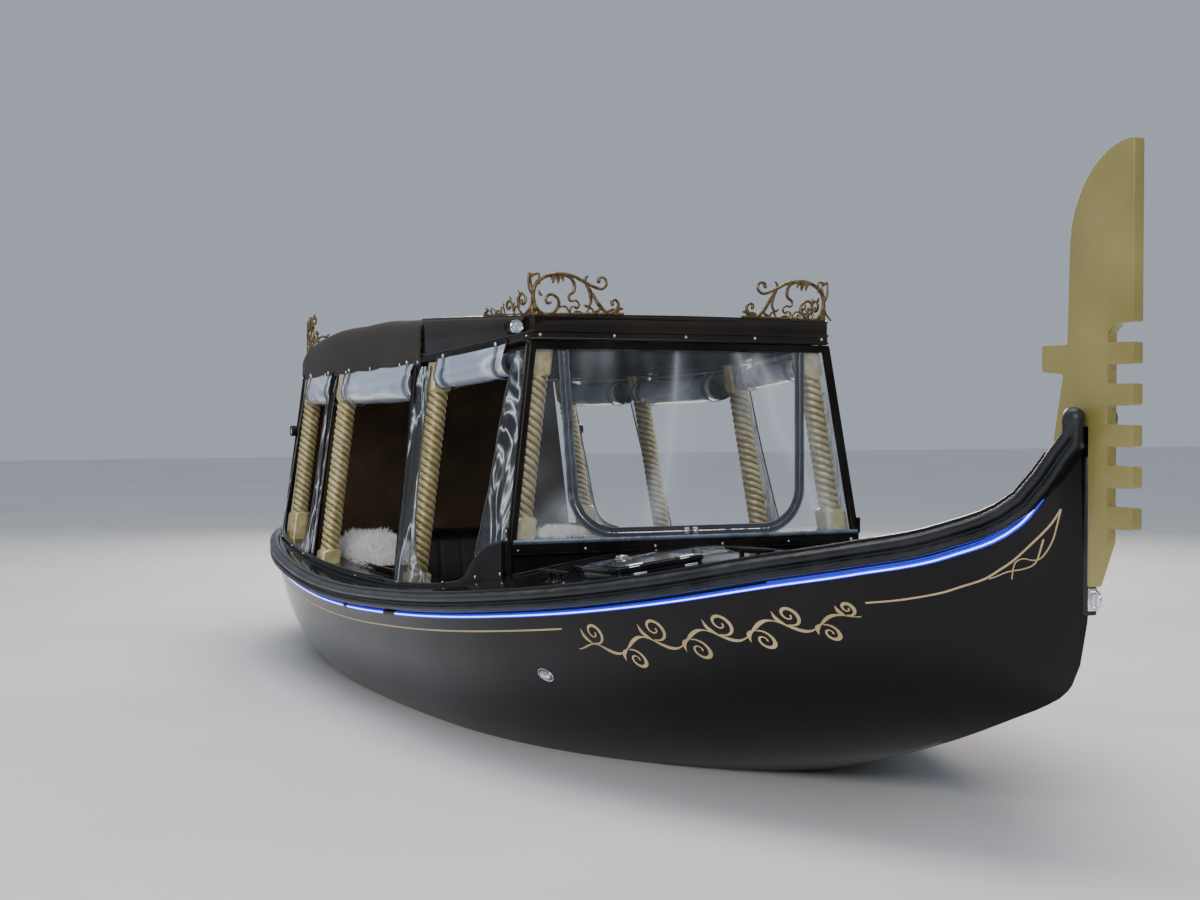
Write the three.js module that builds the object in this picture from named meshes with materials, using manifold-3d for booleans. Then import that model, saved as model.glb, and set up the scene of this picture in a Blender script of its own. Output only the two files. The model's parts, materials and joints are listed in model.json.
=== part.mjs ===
// A small cabin gondola afloat. Millimetres, +X to the bow, +Y to port, +Z up.
// The origin is on the centreline at the waterline, halfway along the boat.
import * as THREE from 'three';
import { mergeVertices } from 'three/addons/utils/BufferGeometryUtils.js';
import Module from 'manifold-3d';

const wasm = await Module();
wasm.setup();

const GAP = 0.4;
const SIDES = { starboard: -1, port: 1 };

// Hull sections: station, half beam at the sheer, sheer height, keel height, and the bilge control point
const HULL = [
  { x: -2910, beam: 38, sheer: 506, keel: 372, bilgeY: 34, bilgeZ: 400 },
  { x: -2870, beam: 115, sheer: 503, keel: 252, bilgeY: 100, bilgeZ: 290 },
  { x: -2800, beam: 210, sheer: 499, keel: 152, bilgeY: 190, bilgeZ: 185 },
  { x: -2700, beam: 310, sheer: 495, keel: 74, bilgeY: 285, bilgeZ: 95 },
  { x: -2550, beam: 415, sheer: 490, keel: 10, bilgeY: 385, bilgeZ: 5 },
  { x: -2350, beam: 525, sheer: 484, keel: -45, bilgeY: 490, bilgeZ: -60 },
  { x: -2050, beam: 655, sheer: 477, keel: -100, bilgeY: 620, bilgeZ: -125 },
  { x: -1750, beam: 750, sheer: 466, keel: -140, bilgeY: 710, bilgeZ: -165 },
  { x: -1350, beam: 838, sheer: 440, keel: -175, bilgeY: 800, bilgeZ: -205 },
  { x: -950, beam: 880, sheer: 412, keel: -193, bilgeY: 845, bilgeZ: -230 },
  { x: -550, beam: 895, sheer: 395, keel: -200, bilgeY: 860, bilgeZ: -240 },
  { x: -150, beam: 895, sheer: 398, keel: -198, bilgeY: 858, bilgeZ: -238 },
  { x: 250, beam: 886, sheer: 418, keel: -188, bilgeY: 845, bilgeZ: -226 },
  { x: 650, beam: 865, sheer: 447, keel: -160, bilgeY: 810, bilgeZ: -190 },
  { x: 1050, beam: 815, sheer: 487, keel: -105, bilgeY: 720, bilgeZ: -115 },
  { x: 1450, beam: 715, sheer: 538, keel: -22, bilgeY: 560, bilgeZ: -5 },
  { x: 1750, beam: 605, sheer: 590, keel: 56, bilgeY: 410, bilgeZ: 110 },
  { x: 2050, beam: 455, sheer: 655, keel: 148, bilgeY: 260, bilgeZ: 240 },
  { x: 2250, beam: 335, sheer: 697, keel: 217, bilgeY: 170, bilgeZ: 320 },
  { x: 2450, beam: 200, sheer: 750, keel: 295, bilgeY: 90, bilgeZ: 400 },
  { x: 2600, beam: 92, sheer: 836, keel: 358, bilgeY: 42, bilgeZ: 470 },
  { x: 2655, beam: 52, sheer: 922, keel: 392, bilgeY: 27, bilgeZ: 560 },
  { x: 2698, beam: 30, sheer: 982, keel: 458, bilgeY: 20, bilgeZ: 650 },
  { x: 2722, beam: 21, sheer: 1003, keel: 560, bilgeY: 17, bilgeZ: 700 },
];
const HULL_WALL = 18;
const HOLD = { aft: -2650, fore: 2400, above: 40 };
const ROW_SPACE = 15;

// Deck camber: height of the ridge over the deck edge along the boat
const CAMBER = [
  { x: -2910, rise: 2 }, { x: -2600, rise: 10 }, { x: -1800, rise: 14 }, { x: -1000, rise: 14 },
  { x: 400, rise: 60 }, { x: 650, rise: 122 }, { x: 1150, rise: 100 }, { x: 1650, rise: 53 },
  { x: 2050, rise: 22 }, { x: 2450, rise: 5 }, { x: 2722, rise: 0.5 },
];
const DECK_THICK = 14;
const RIDGE_POWER = 1.4;

// Column stations: place, half span at EYE_LEVEL, foot height (0 on the deck) and plinth height
const EYE_LEVEL = 1050;
const LEAN_IN = 0.144;
const RAKE_AFT = 0.067;
const STATIONS = [
  { number: 1, x: 650, halfSpan: 518, foot: 628, plinth: 70 },
  { number: 2, x: -39, halfSpan: 608, foot: 0, plinth: 52 },
  { number: 3, x: -1002, halfSpan: 656, foot: 0, plinth: 60 },
  { number: 4, x: -1708, halfSpan: 606, foot: 0, plinth: 120 },
];
const ROPE = { radius: 37, groove: 8, strands: 4, lead: 97, step: 19.7 };
const PLINTH_SIZE = 84;
const CAP_SIZE = 74;
const CAP_TALL = 105;

// Cabin well: half width at deck level and at the sole along the boat
const WELL = [
  { x: -1730, top: 560, sole: 300 },
  { x: -1002, top: 655, sole: 470 },
  { x: -39, top: 610, sole: 460 },
  { x: 640, top: 520, sole: 340 },
];
const WELL_CUT = { low: 300, high: 700 };
const SOLE_TOP = -70;
const TUB_WALL = 14;

// Roof edge: top and bottom of the side board, and its half width
const ROOF = [
  { x: -2000, top: 1236, bottom: 1168, half: 560 },
  { x: -1930, top: 1262, bottom: 1168, half: 583 },
  { x: -1760, top: 1292, bottom: 1169, half: 615 },
  { x: -1450, top: 1330, bottom: 1172, half: 648 },
  { x: -1050, top: 1352, bottom: 1176, half: 664 },
  { x: -650, top: 1362, bottom: 1186, half: 655 },
  { x: -105, top: 1357, bottom: 1202, half: 626 },
  { x: 690, top: 1336, bottom: 1256, half: 545 },
];
const ROOF_SPLIT = -130;
const ROOF_SKIN = 16;
const ROOF_CROWN = 8;
const ROOF_EDGE = { in: 22, down: 16 };
const LID_REACH = 40;

const WINDSCREEN = {
  sillX: 738, sillZ: 628, sillHalf: 624,
  headX: 690, headZ: 1254, headHalf: 536, postRadius: 13, clear: 15, thick: 3,
};
const SILL = { wall: 18, shelfAft: 596, shelfProud: 14, shelfWider: 6, deep: 24, wallTop: 10 };
const HEAD_BAR = { aft: 13, fore: 12, wider: 12, deep: 24 };

const FERRO = {
  thick: 28, front: 2884, root: 2799, stemFace: 2737, toothTop: 1190, toothPitch: 91, toothTall: 49, teeth: 5,
  toothFillet: 22, top: 1634, bladeFoot: 1232, bladeStep: 26, foot: 1004, crownLevel: 1405, crownBack: 2669,
  tip: 641, tipFront: 2752, chin: 745,
  back: [[2662, 1190], [2571, 1190], [2571, 1128], [2648, 1122], [2617, 980], [2606, 860]],
};
const STEM_BAND = { half: 16, low: 575, high: 936 };
const EYE = { half: 13, low: 586, high: 638, plate: 5, ring: 18, wire: 4, reach: 24 };

const RAIL_PROFILE = [
  [GAP, -40], [20, -40], [34, -28], [34, -18], [23, -9], [34, 0], [34, 10], [20, 20], [GAP, 20],
];
const STRIP_PROFILE = [[-14, -58], [13, -58], [13, -46], [-14, -46]];

const HULL_STEPS = 8;
const DECK_STEPS = 10;
const DECK_FORE = 2600;
const TUB_LIP = 6;
const TUB_SPARE = 60;
const ROOF_FORE = 702;
const HATCH = {
  aft: 1060, fore: 1375, near: 270, far: 560, proud: 6, thick: 16, frameIn: 6, frameDeep: 32, holeIn: 30,
};
const RAIL_FORE = 2698;
const RAIL_CAP = { tall: 66, rake: 0.15, swell: 1.25, tipSwell: 1.1, slot: 60 };
const STRIP = { aft: -2870, fore: 2600 };
const BINDING = { half: 416, topHalf: 434, low: 641, high: 1224, corner: 145, wide: 26, back: 2, face: 7 };
const PANEL = { off: 10, thick: 4 };
const PANEL_EDGE = [
  { z: 632, aft: 470, fore: 737 }, { z: 700, aft: 560, fore: 732 }, { z: 1229, aft: 570, fore: 692 },
];
const ROLLS = [
  { aft: 20, fore: 540, radius: 43 }, { aft: -960, fore: -190, radius: 56 },
  { aft: -1640, fore: -1150, radius: 52 },
];
const BATTEN = { aft: -1700, fore: 540, near: 3, far: 10, low: 1, high: 22 };
const STRAP = { inset: 60, half: 14, near: 2, far: 9, below: 34, above: 12 };
const ROLL_DROP = 14;
const COAMING = [
  { x: -1790, y: 722, top: 512 }, { x: -1700, y: 742, top: 500 }, { x: -1350, y: 785, top: 474 },
  { x: -1002, y: 800, top: 450 }, { x: -550, y: 788, top: 434 }, { x: -39, y: 762, top: 434 },
  { x: 200, y: 732, top: 446 }, { x: 385, y: 705, top: 466 }, { x: 489, y: 690, top: 494 },
  { x: 542, y: 680, top: 548 }, { x: 617, y: 664, top: 598 }, { x: 716, y: 648, top: 622 },
];
const SIDE_POSTS = [{ foot: -58, head: -170 }, { foot: -1020, head: -1135 }, { foot: -1729, head: -1779 }];
const COAMING_HALF = 7;
const HEADER = { aft: -1900, fore: 668, deep: 60, tall: 34 };
const POST = { radius: 9, footIn: 16, headIn: 12, footInboard: 12, headInboard: 30 };
const BULKHEAD = { x: -1765, lowHalf: 640, highHalf: 556, thick: 20 };

// Ornament wings, as strokes through [outward, upward] points from the roof's corner
const SCROLL = { thick: 9, bar: 9, wide: 10, taper: 0.4, spacing: 20, bedded: 5, inset: 10 };
const TALL_WING = {
  long: 318,
  strokes: [
    [[64, 42], [52, 37], [45, 52], [60, 66], [82, 58], [91, 36], [74, 11], [42, 3], [14, 22], [2, 55], [5, 85],
      [20, 106], [42, 122], [75, 131], [106, 131], [148, 121], [184, 103], [219, 88], [240, 84], [257, 99],
      [250, 119], [233, 118]],
    [[106, 129], [134, 116], [145, 93], [140, 73], [126, 62], [131, 45], [150, 45], [161, 34], [154, 22]],
    [[184, 102], [198, 71], [201, 42], [189, 27]],
    [[190, 98], [212, 61], [237, 26], [265, 5], [289, 14], [300, 34], [289, 48], [276, 40]],
  ],
};
const LOW_WING = {
  long: 342,
  strokes: [
    [[2, 60], [8, 36], [28, 14], [57, 4], [86, 18], [98, 42], [88, 64], [64, 71], [47, 56], [55, 39], [72, 40]],
    [[2, 55], [-2, 80], [12, 106], [10, 132], [0, 124]],
    [[124, 4], [134, 30], [149, 47], [170, 45], [178, 31], [166, 22]],
    [[188, 4], [199, 27], [216, 24]],
    [[268, 4], [305, 22], [326, 12]],
  ],
};
const SCROLL_ENDS = [
  { name: 'front', x: 688, aim: -1, athwart: TALL_WING, lengthwise: LOW_WING },
  { name: 'aft', x: -1815, aim: 1, athwart: LOW_WING, lengthwise: TALL_WING },
];
const LAMP = {
  back: -60, out: 32, level: 1300, long: 45, ahead: 30, radius: 22, stemIn: 12, stemLong: 20, stemHalf: 10,
};
const CLEAT = {
  legs: [-26, 26], legRadius: 7, level: 33, pad: [42, 13, 6], horn: 78, hornRadius: 8,
};
const BEDDED = 6;
const CLEATS = [
  { name: 'fore', x: 1870, y: 400, turn: -0.45 }, { name: 'mid', x: 1200, y: 670, turn: -0.2 },
];
const PAD = { low: 60, high: 420, thick: 62, clear: 7, lean: 6 };
const PAD_ROWS = [-1560, -1002, -39, 60];
const HELM = { fore: -1790, aft: -1940, wide: 380, tilt: 0.35, faceZ: 720, face: 240 };
const LEVER = { x: -1830, level: 850, out: 24, tall: 150, rake: 24, radius: 7, knob: 16, hub: 22 };
const WHEEL = {
  radius: 170, rim: 11, spokes: 5, off: 70, spoke: 8, shaft: 14, hub: 30, hubBack: 16, hubFore: 14,
};
const SKEG = { aft: -2080, fore: 1000, thick: 38, sole: [[900, -140], [500, -262], [-2080, -350]] };
const BOSS = { aft: -2098, fore: -1990, radius: 24 };
const PROP = { x: -2150, z: -235, blades: 3, hub: 20, hubBack: 34, cone: 30 };
const PROP_SECTIONS = [
  { r: 10, chord: 40, pitch: 0.95, thick: 12 }, { r: 45, chord: 74, pitch: 0.7, thick: 9 },
  { r: 80, chord: 70, pitch: 0.5, thick: 7 }, { r: 108, chord: 30, pitch: 0.4, thick: 4 },
];
const RUDDER = {
  x: -2370, ahead: 55, behind: 190, thick: 32, low: -370, high: -95, stock: 16, stockLow: -155, stockTop: -44.4,
};

// Seats and heavy goods: lowest and highest corner, and how far a soft top is rounded
const SEAT_LEVEL = 20;
const SOFT_EDGE = { under: 14, foot: 22, over: 30 };
const SOLE_REST = SOLE_TOP + GAP;
const SEAT_REST = SEAT_LEVEL + GAP;
const FURNITURE = [
  { name: 'seat_base_aft', low: [-1690, -270, SOLE_REST], high: [-1190, 270, SEAT_LEVEL], finish: 'black' },
  { name: 'seat_base_front', low: [120, -322, SOLE_REST], high: [600, 322, SEAT_LEVEL], finish: 'black' },
  { name: 'seat_cushion_aft', low: [-1604, -300, SEAT_REST], high: [-1180, 300, 118], crown: 12, finish: 'red' },
  { name: 'seat_cushion_front', low: [110, -330, SEAT_REST], high: [524, 330, 118], crown: 12, finish: 'red' },
  { name: 'seat_back_aft', low: [-1715, -300, SEAT_REST], high: [-1604.5, 300, 470], crown: 30, finish: 'black' },
  { name: 'seat_back_front', low: [524.5, -340, SEAT_REST], high: [625, 340, 596], crown: 30, finish: 'black' },
  { name: 'fur_throw', low: [-1290, -600.2, 426.5], high: [-700, -440, 538], crown: 40, finish: 'fur' },
  { name: 'sill_throw', low: [628, -526, 628.4], high: [716, -338, 668], crown: 16, finish: 'fur' },
  { name: 'battery_block', low: [-2330, -200, -6], high: [-1800, 200, 224], finish: 'black' },
];

// Interpolation between the rows of a table
function at(table, x, key) {
  const last = table.length - 1;
  if (x <= table[0].x) return table[0][key];
  if (x >= table[last].x) return table[last][key];
  const i = table.findIndex((row, n) => n < last && x >= row.x && x <= table[n + 1].x);
  const [before, a, b, after] = [Math.max(i - 1, 0), i, i + 1, Math.min(i + 2, last)].map((n) => table[n]);
  const span = b.x - a.x;
  const t = (x - a.x) / span;
  const slope = (b[key] - a[key]) / span;
  const startSlope = before === a ? slope : 0.5 * (slope + (a[key] - before[key]) / (a.x - before.x));
  const endSlope = after === b ? slope : 0.5 * (slope + (after[key] - b[key]) / (after.x - b.x));
  const rise = b[key] - a[key];
  return a[key] + rise * t * t * (3 - 2 * t)
    + span * (startSlope * t * (1 - t) ** 2 - endSlope * t * t * (1 - t));
}

function evenly(from, to, count) {
  return Array.from({ length: count + 1 }, (_, i) => from + (to - from) * (i / count));
}

const hullAt = (x, key) => at(HULL, x, key);

function deckTop(x, y) {
  const across = Math.min(Math.abs(y) / hullAt(x, 'beam'), 1);
  return hullAt(x, 'sheer') + DECK_THICK + at(CAMBER, x, 'rise') * (1 - across ** RIDGE_POWER);
}

// Meshes
function volumeSign(positions, index) {
  let total = 0;
  const [a, b, c] = [new THREE.Vector3(), new THREE.Vector3(), new THREE.Vector3()];
  for (let i = 0; i < index.length; i += 3) {
    a.fromArray(positions, index[i] * 3);
    b.fromArray(positions, index[i + 1] * 3);
    c.fromArray(positions, index[i + 2] * 3);
    total += a.dot(b.cross(c));
  }
  return Math.sign(total);
}

function shell(vertices, triangles) {
  const positions = new Float32Array(vertices.flat());
  const index = [...triangles];
  if (volumeSign(positions, index) < 0) {
    for (let i = 0; i < index.length; i += 3) [index[i], index[i + 1]] = [index[i + 1], index[i]];
  }
  const geometry = new THREE.BufferGeometry();
  geometry.setAttribute('position', new THREE.BufferAttribute(positions, 3));
  geometry.setIndex(index);
  return geometry;
}

// A closed body through like loops of points, with flat or fan-shaped ends
function loft(loops, closedPath = false) {
  const count = loops[0].length;
  const vertices = loops.flat();
  const triangles = [];
  const rings = closedPath ? loops.length : loops.length - 1;
  for (let r = 0; r < rings; r += 1) {
    const next = (r + 1) % loops.length;
    for (let k = 0; k < count; k += 1) {
      const [a, b] = [r * count + k, r * count + ((k + 1) % count)];
      const [c, d] = [next * count + k, next * count + ((k + 1) % count)];
      triangles.push(a, b, c, b, d, c);
    }
  }
  if (!closedPath) {
    const flat = (loop) => {
      const normal = new THREE.Vector3();
      loop.forEach((p, k) => {
        const q = loop[(k + 1) % count];
        normal.add(new THREE.Vector3(...p).cross(new THREE.Vector3(...q)));
      });
      const away = normal.normalize();
      const side = Math.abs(away.x) < 0.9 ? new THREE.Vector3(1, 0, 0) : new THREE.Vector3(0, 1, 0);
      const u = new THREE.Vector3().crossVectors(away, side).normalize();
      const v = new THREE.Vector3().crossVectors(away, u);
      return loop.map((p) => {
        const point = new THREE.Vector3(...p);
        return new THREE.Vector2(point.dot(u), point.dot(v));
      });
    };
    const first = THREE.ShapeUtils.triangulateShape(flat(loops[0]), []);
    first.forEach(([a, b, c]) => triangles.push(...orient(loops[0], [a, b, c], 0)));
    const base = (loops.length - 1) * count;
    const end = THREE.ShapeUtils.triangulateShape(flat(loops[loops.length - 1]), []);
    end.forEach(([a, b, c]) => triangles.push(...orient(loops[loops.length - 1], [a, b, c], base, true)));
  }
  return shell(vertices, triangles);
}

// Turns a cap's triangle so that it follows its loop backwards at the start and forwards at the end
function orient(loop, [a, b, c], base, forwards = false) {
  const order = [a, b, c].sort((m, n) => m - n);
  const [p, q, r] = forwards ? order : [order[0], order[2], order[1]];
  return [base + p, base + q, base + r];
}

function toSolid(geometry) {
  const bare = geometry.clone();
  bare.deleteAttribute('normal');
  bare.deleteAttribute('uv');
  const merged = mergeVertices(bare, 1e-3);
  return new wasm.Manifold(new wasm.Mesh({
    numProp: 3,
    vertProperties: new Float32Array(merged.attributes.position.array),
    triVerts: new Uint32Array(merged.index.array),
  }));
}

function toGeometry(solid) {
  const mesh = solid.getMesh();
  const geometry = new THREE.BufferGeometry();
  geometry.setAttribute('position', new THREE.BufferAttribute(new Float32Array(mesh.vertProperties), 3));
  geometry.setIndex(Array.from(mesh.triVerts));
  return geometry;
}

function join(...geometries) {
  return toGeometry(geometries.map(toSolid).reduce((whole, piece) => whole.add(piece)));
}

function cut(geometry, ...tools) {
  return toGeometry(tools.map(toSolid).reduce((whole, tool) => whole.subtract(tool), toSolid(geometry)));
}

function block(low, high) {
  const size = high.map((value, i) => value - low[i]);
  return new THREE.BoxGeometry(...size).translate(...high.map((value, i) => (value + low[i]) / 2));
}

function rod(from, to, radius, sides = 12) {
  const [a, b] = [new THREE.Vector3(...from), new THREE.Vector3(...to)];
  const along = b.clone().sub(a);
  const geometry = new THREE.CylinderGeometry(radius, radius, along.length(), sides);
  geometry.applyQuaternion(new THREE.Quaternion().setFromUnitVectors(new THREE.Vector3(0, 1, 0),
    along.clone().normalize()));
  const middle = a.add(b).multiplyScalar(0.5);
  return geometry.translate(middle.x, middle.y, middle.z);
}

// Looks of the CAD materials
const FINISH = {
  gelcoat: { color: 0x0b0b0d, roughness: 0.18, metalness: 0 },
  rubber: { color: 0x1b1c20, roughness: 0.6, metalness: 0 },
  lit: { color: 0x2440ff, roughness: 0.4, metalness: 0 },
  gold: { color: 0xb8a561, roughness: 0.42, metalness: 0.25 },
  ropeGold: { color: 0xc7a65a, roughness: 0.35, metalness: 0.4 },
  brass: { color: 0x8f7a45, roughness: 0.45, metalness: 0.7 },
  chrome: { color: 0xd5d8dc, roughness: 0.12, metalness: 1 },
  black: { color: 0x131315, roughness: 0.4, metalness: 0 },
  canvas: { color: 0x17140f, roughness: 0.9, metalness: 0 },
  clear: { color: 0xcfd6dc, roughness: 0.1, metalness: 0 },
  red: { color: 0x6d0f16, roughness: 0.55, metalness: 0 },
  fur: { color: 0xf2f0ea, roughness: 0.95, metalness: 0 },
  teak: { color: 0x5a3a22, roughness: 0.6, metalness: 0 },
  bronze: { color: 0x9a7a3c, roughness: 0.3, metalness: 0.9 },
};

const boat = new THREE.Group();

function add(name, geometry, finish) {
  const mesh = new THREE.Mesh(geometry, new THREE.MeshStandardMaterial({ name: finish, ...FINISH[finish] }));
  mesh.name = name;
  boat.add(mesh);
  return mesh;
}

// Hull
function hullLoop(x, inset, lift = 0) {
  const beam = Math.max(hullAt(x, 'beam') - inset, 4);
  const sheer = hullAt(x, 'sheer');
  const keel = hullAt(x, 'keel') + inset;
  const bilge = [Math.max(hullAt(x, 'bilgeY') - inset, 3), hullAt(x, 'bilgeZ') + inset];
  const half = evenly(0, 1, HULL_STEPS).map((t) => [
    2 * t * (1 - t) * bilge[0] + t * t * beam,
    (1 - t) ** 2 * keel + 2 * t * (1 - t) * bilge[1] + t * t * sheer,
  ]);
  half[HULL_STEPS][1] += lift;
  const port = half.map(([y, z]) => [x, y, z]);
  const starboard = half.slice(1).reverse().map(([y, z]) => [x, -y, z]);
  return [...port, ...starboard];
}

function rowsBetween(aft, fore) {
  const inner = HULL.map((row) => row.x).filter((x) => x > aft + ROW_SPACE && x < fore - ROW_SPACE);
  return [aft, ...inner, fore];
}

function hull() {
  const outer = loft(HULL.map((row) => hullLoop(row.x, 0)));
  const hold = loft(rowsBetween(HOLD.aft, HOLD.fore).map((x) => hullLoop(x, HULL_WALL, HOLD.above)));
  return cut(outer, hold);
}

function keelSkeg() {
  const top = rowsBetween(SKEG.aft, SKEG.fore).map((x) => [x, hullKeelLine(x) - GAP]);
  const outline = [...top, ...SKEG.sole];
  const plate = extrudeAcross(outline, SKEG.thick);
  const boss = rod([BOSS.aft, 0, PROP.z], [BOSS.fore, 0, PROP.z], BOSS.radius);
  return join(plate, boss);
}

// Straight between the hull's own sections, as its skin is
function hullKeelLine(x) {
  const i = HULL.findIndex((row, n) => n < HULL.length - 1 && x >= row.x && x <= HULL[n + 1].x);
  const [a, b] = [HULL[i], HULL[i + 1]];
  return a.keel + (b.keel - a.keel) * ((x - a.x) / (b.x - a.x));
}

// A flat plate on the centreline from an outline of [x, z] points
function extrudeAcross(outline, thick) {
  const shape = new THREE.Shape(outline.map(([x, z]) => new THREE.Vector2(x, z)));
  const plate = new THREE.ExtrudeGeometry(shape, { depth: thick, bevelEnabled: false, curveSegments: 6 });
  return plate.rotateX(Math.PI / 2).translate(0, thick / 2, 0);
}

// Deck
function deckPlate(thick) {
  return loft(HULL.filter((row) => row.x <= DECK_FORE).map(({ x, beam }) => {
    const top = evenly(beam, -beam, DECK_STEPS).map((y) => [x, y, deckTop(x, y)]);
    const under = [...top].reverse().map(([, y, z]) => [x, y, z - thick]);
    return [...top, ...under];
  }));
}

function wellPrism(extra, low, high) {
  const rows = [...WELL].sort((a, b) => a.x - b.x);
  rows[0] = { ...rows[0], x: rows[0].x - extra };
  rows[rows.length - 1] = { ...rows[rows.length - 1], x: rows[rows.length - 1].x + extra };
  return loft(rows.map(({ x, top }) => [
    [x, top + extra, low], [x, top + extra, high], [x, -top - extra, high], [x, -top - extra, low],
  ]));
}

// The hatch lies in its own plane, over the highest corner of the deck below it
function hatchFrame(side) {
  const [aft, fore, near, far] = [HATCH.aft, HATCH.fore, side * HATCH.near, side * HATCH.far];
  const origin = new THREE.Vector3(fore, near, deckTop(fore, near));
  const across = new THREE.Vector3(0, far - near, deckTop(fore, far) - deckTop(fore, near)).normalize();
  const along = new THREE.Vector3(aft - fore, 0, deckTop(aft, near) - deckTop(fore, near)).normalize();
  const up = new THREE.Vector3().crossVectors(along, across).normalize();
  if (up.z < 0) up.negate();
  const corners = [[aft, near], [aft, far], [fore, near], [fore, far]];
  const lift = Math.max(...corners.map(([x, y]) => new THREE.Vector3(x, y, deckTop(x, y)).sub(origin).dot(up)));
  origin.addScaledVector(up, lift + HATCH.proud);
  return { origin, across, along, up, wide: HATCH.far - HATCH.near, long: HATCH.fore - HATCH.aft };
}

function hatchSlab(side, inset, low, high) {
  const { origin, across, along, up, wide, long } = hatchFrame(side);
  const corner = (a, b, c) => origin.clone().addScaledVector(across, a).addScaledVector(along, b)
    .addScaledVector(up, c).toArray();
  const ring = (c) => [
    corner(inset, inset, c), corner(wide - inset, inset, c), corner(wide - inset, long - inset, c),
    corner(inset, long - inset, c),
  ];
  return loft([ring(low), ring(high)]);
}

function deck() {
  const plate = cut(deckPlate(DECK_THICK - GAP), wellPrism(GAP, WELL_CUT.low, WELL_CUT.high));
  const frames = Object.values(SIDES).map((side) => hatchSlab(side, HATCH.frameIn, -HATCH.frameDeep, -GAP));
  const below = -HATCH.frameDeep * 4;
  const holes = Object.values(SIDES).map((side) => hatchSlab(side, HATCH.holeIn, below, HATCH.thick));
  return cut(join(plate, ...frames), ...holes);
}

// Trims the foot of a piece that reaches into the deck
function settle(geometry) {
  return cut(geometry, deckPlate(DECK_THICK * 4).translate(0, 0, GAP));
}

function hatchLid(side) {
  return hatchSlab(side, 0, 0, HATCH.thick);
}

// The gunwale: a line through the sheer, with its outward and upward directions
function gunwale(fore) {
  const rows = HULL.filter((row) => row.x <= fore);
  const half = [...rows].reverse().map((row) => [row.x, -row.beam, row.sheer]);
  const whole = [...half, ...[...half].reverse().map(([x, y, z]) => [x, -y, z])];
  const line = whole.map((p) => new THREE.Vector3(...p));
  return line.map((point, i) => {
    const [before, after] = [line[Math.max(i - 1, 0)], line[Math.min(i + 1, line.length - 1)]];
    const along = after.clone().sub(before).normalize();
    const out = new THREE.Vector3(along.y, -along.x, 0).normalize();
    if (out.y * point.y < 0) out.negate();
    const up = new THREE.Vector3().crossVectors(along, out).normalize();
    if (up.z < 0) up.negate();
    return { point, out, up };
  });
}

function along(line, profile) {
  return loft(line.map(({ point, out, up }) => profile.map(([n, u]) => point.clone()
    .addScaledVector(out, n).addScaledVector(up, u).toArray())));
}

// The hull with the gap that a piece fixed to it keeps
const hullSkin = loft(HULL.map((row) => hullLoop(row.x, -GAP)));

function rubRail() {
  const line = gunwale(RAIL_FORE);
  const raised = ({ point, out, up }, height, swell) => ({
    point: point.clone().add(new THREE.Vector3(RAIL_CAP.rake * height, 0, height)), out, up, swell,
  });
  const first = line[0];
  const last = line[line.length - 1];
  const whole = [
    raised(first, RAIL_CAP.tall, RAIL_CAP.tipSwell), raised(first, RAIL_CAP.tall / 2, RAIL_CAP.swell), ...line,
    raised(last, RAIL_CAP.tall / 2, RAIL_CAP.swell), raised(last, RAIL_CAP.tall, RAIL_CAP.tipSwell),
  ];
  const sweep = loft(whole.map(({ point, out, up, swell = 1 }) => RAIL_PROFILE.map(([n, u]) => point.clone()
    .addScaledVector(out, n === GAP ? n : n * swell).addScaledVector(up, u * swell).toArray())));
  const slot = FERRO.thick / 2 + GAP;
  return cut(sweep, hullSkin, block([RAIL_FORE - RAIL_CAP.slot, -slot, 0], [FERRO.front, slot, FERRO.top]));
}

function lightStrip(side) {
  const line = gunwale(STRIP.fore).filter(({ point }) => point.y * side > 0 && point.x >= STRIP.aft);
  return cut(along(line, STRIP_PROFILE), hullSkin);
}

// Prow
function ferro() {
  const { front, root, stemFace, toothTop, toothPitch, toothTall, teeth } = FERRO;
  const foot = HULL.filter((row) => row.x > DECK_FORE).map((row) => [row.x, row.sheer + 1]);
  const comb = Array.from({ length: teeth }, (_, i) => {
    const top = toothTop - i * toothPitch;
    return [[root, top], [front, top], [front, top - toothTall], [root, top - toothTall]];
  }).flat();
  const [back, rise] = [front - FERRO.crownBack, FERRO.top - FERRO.crownLevel];
  const crown = evenly(0, Math.PI / 2, 9).slice(1).map((a) => [
    front - back * Math.sin(a), FERRO.crownLevel + rise * Math.cos(a),
  ]);
  return extrudeAcross([
    ...FERRO.back, ...foot, [stemFace, FERRO.foot], [stemFace, FERRO.tip], [FERRO.tipFront, FERRO.tip],
    [root, FERRO.chin],
    ...comb.reverse(), [root, toothTop + FERRO.toothFillet], [root + FERRO.bladeStep, FERRO.bladeFoot],
    [front, FERRO.bladeFoot],
    [front, FERRO.top], ...crown,
  ], FERRO.thick);
}

function stemBandFace() {
  return FERRO.stemFace - GAP;
}

function stemBand() {
  const { half, low, high } = STEM_BAND;
  return block([HULL[HULL.length - 1].x + GAP, -half, low], [stemBandFace(), half, high]);
}

function bowEye() {
  const face = stemBandFace();
  const plate = block([face + GAP, -EYE.half, EYE.low], [face + EYE.plate, EYE.half, EYE.high]);
  const ring = new THREE.TorusGeometry(EYE.ring, EYE.wire, 6, 14).rotateX(Math.PI / 2)
    .translate(face + EYE.reach, 0, (EYE.low + EYE.high) / 2);
  return join(plate, ring);
}

// Cabin
function columnAxis(station, side, z) {
  return [
    station.x - RAKE_AFT * (z - EYE_LEVEL),
    side * (station.halfSpan - LEAN_IN * (z - EYE_LEVEL)),
    z,
  ];
}

function squareLoop([x, y, z], size) {
  const h = size / 2;
  return [[x - h, y - h, z], [x + h, y - h, z], [x + h, y + h, z], [x - h, y + h, z]];
}

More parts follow.
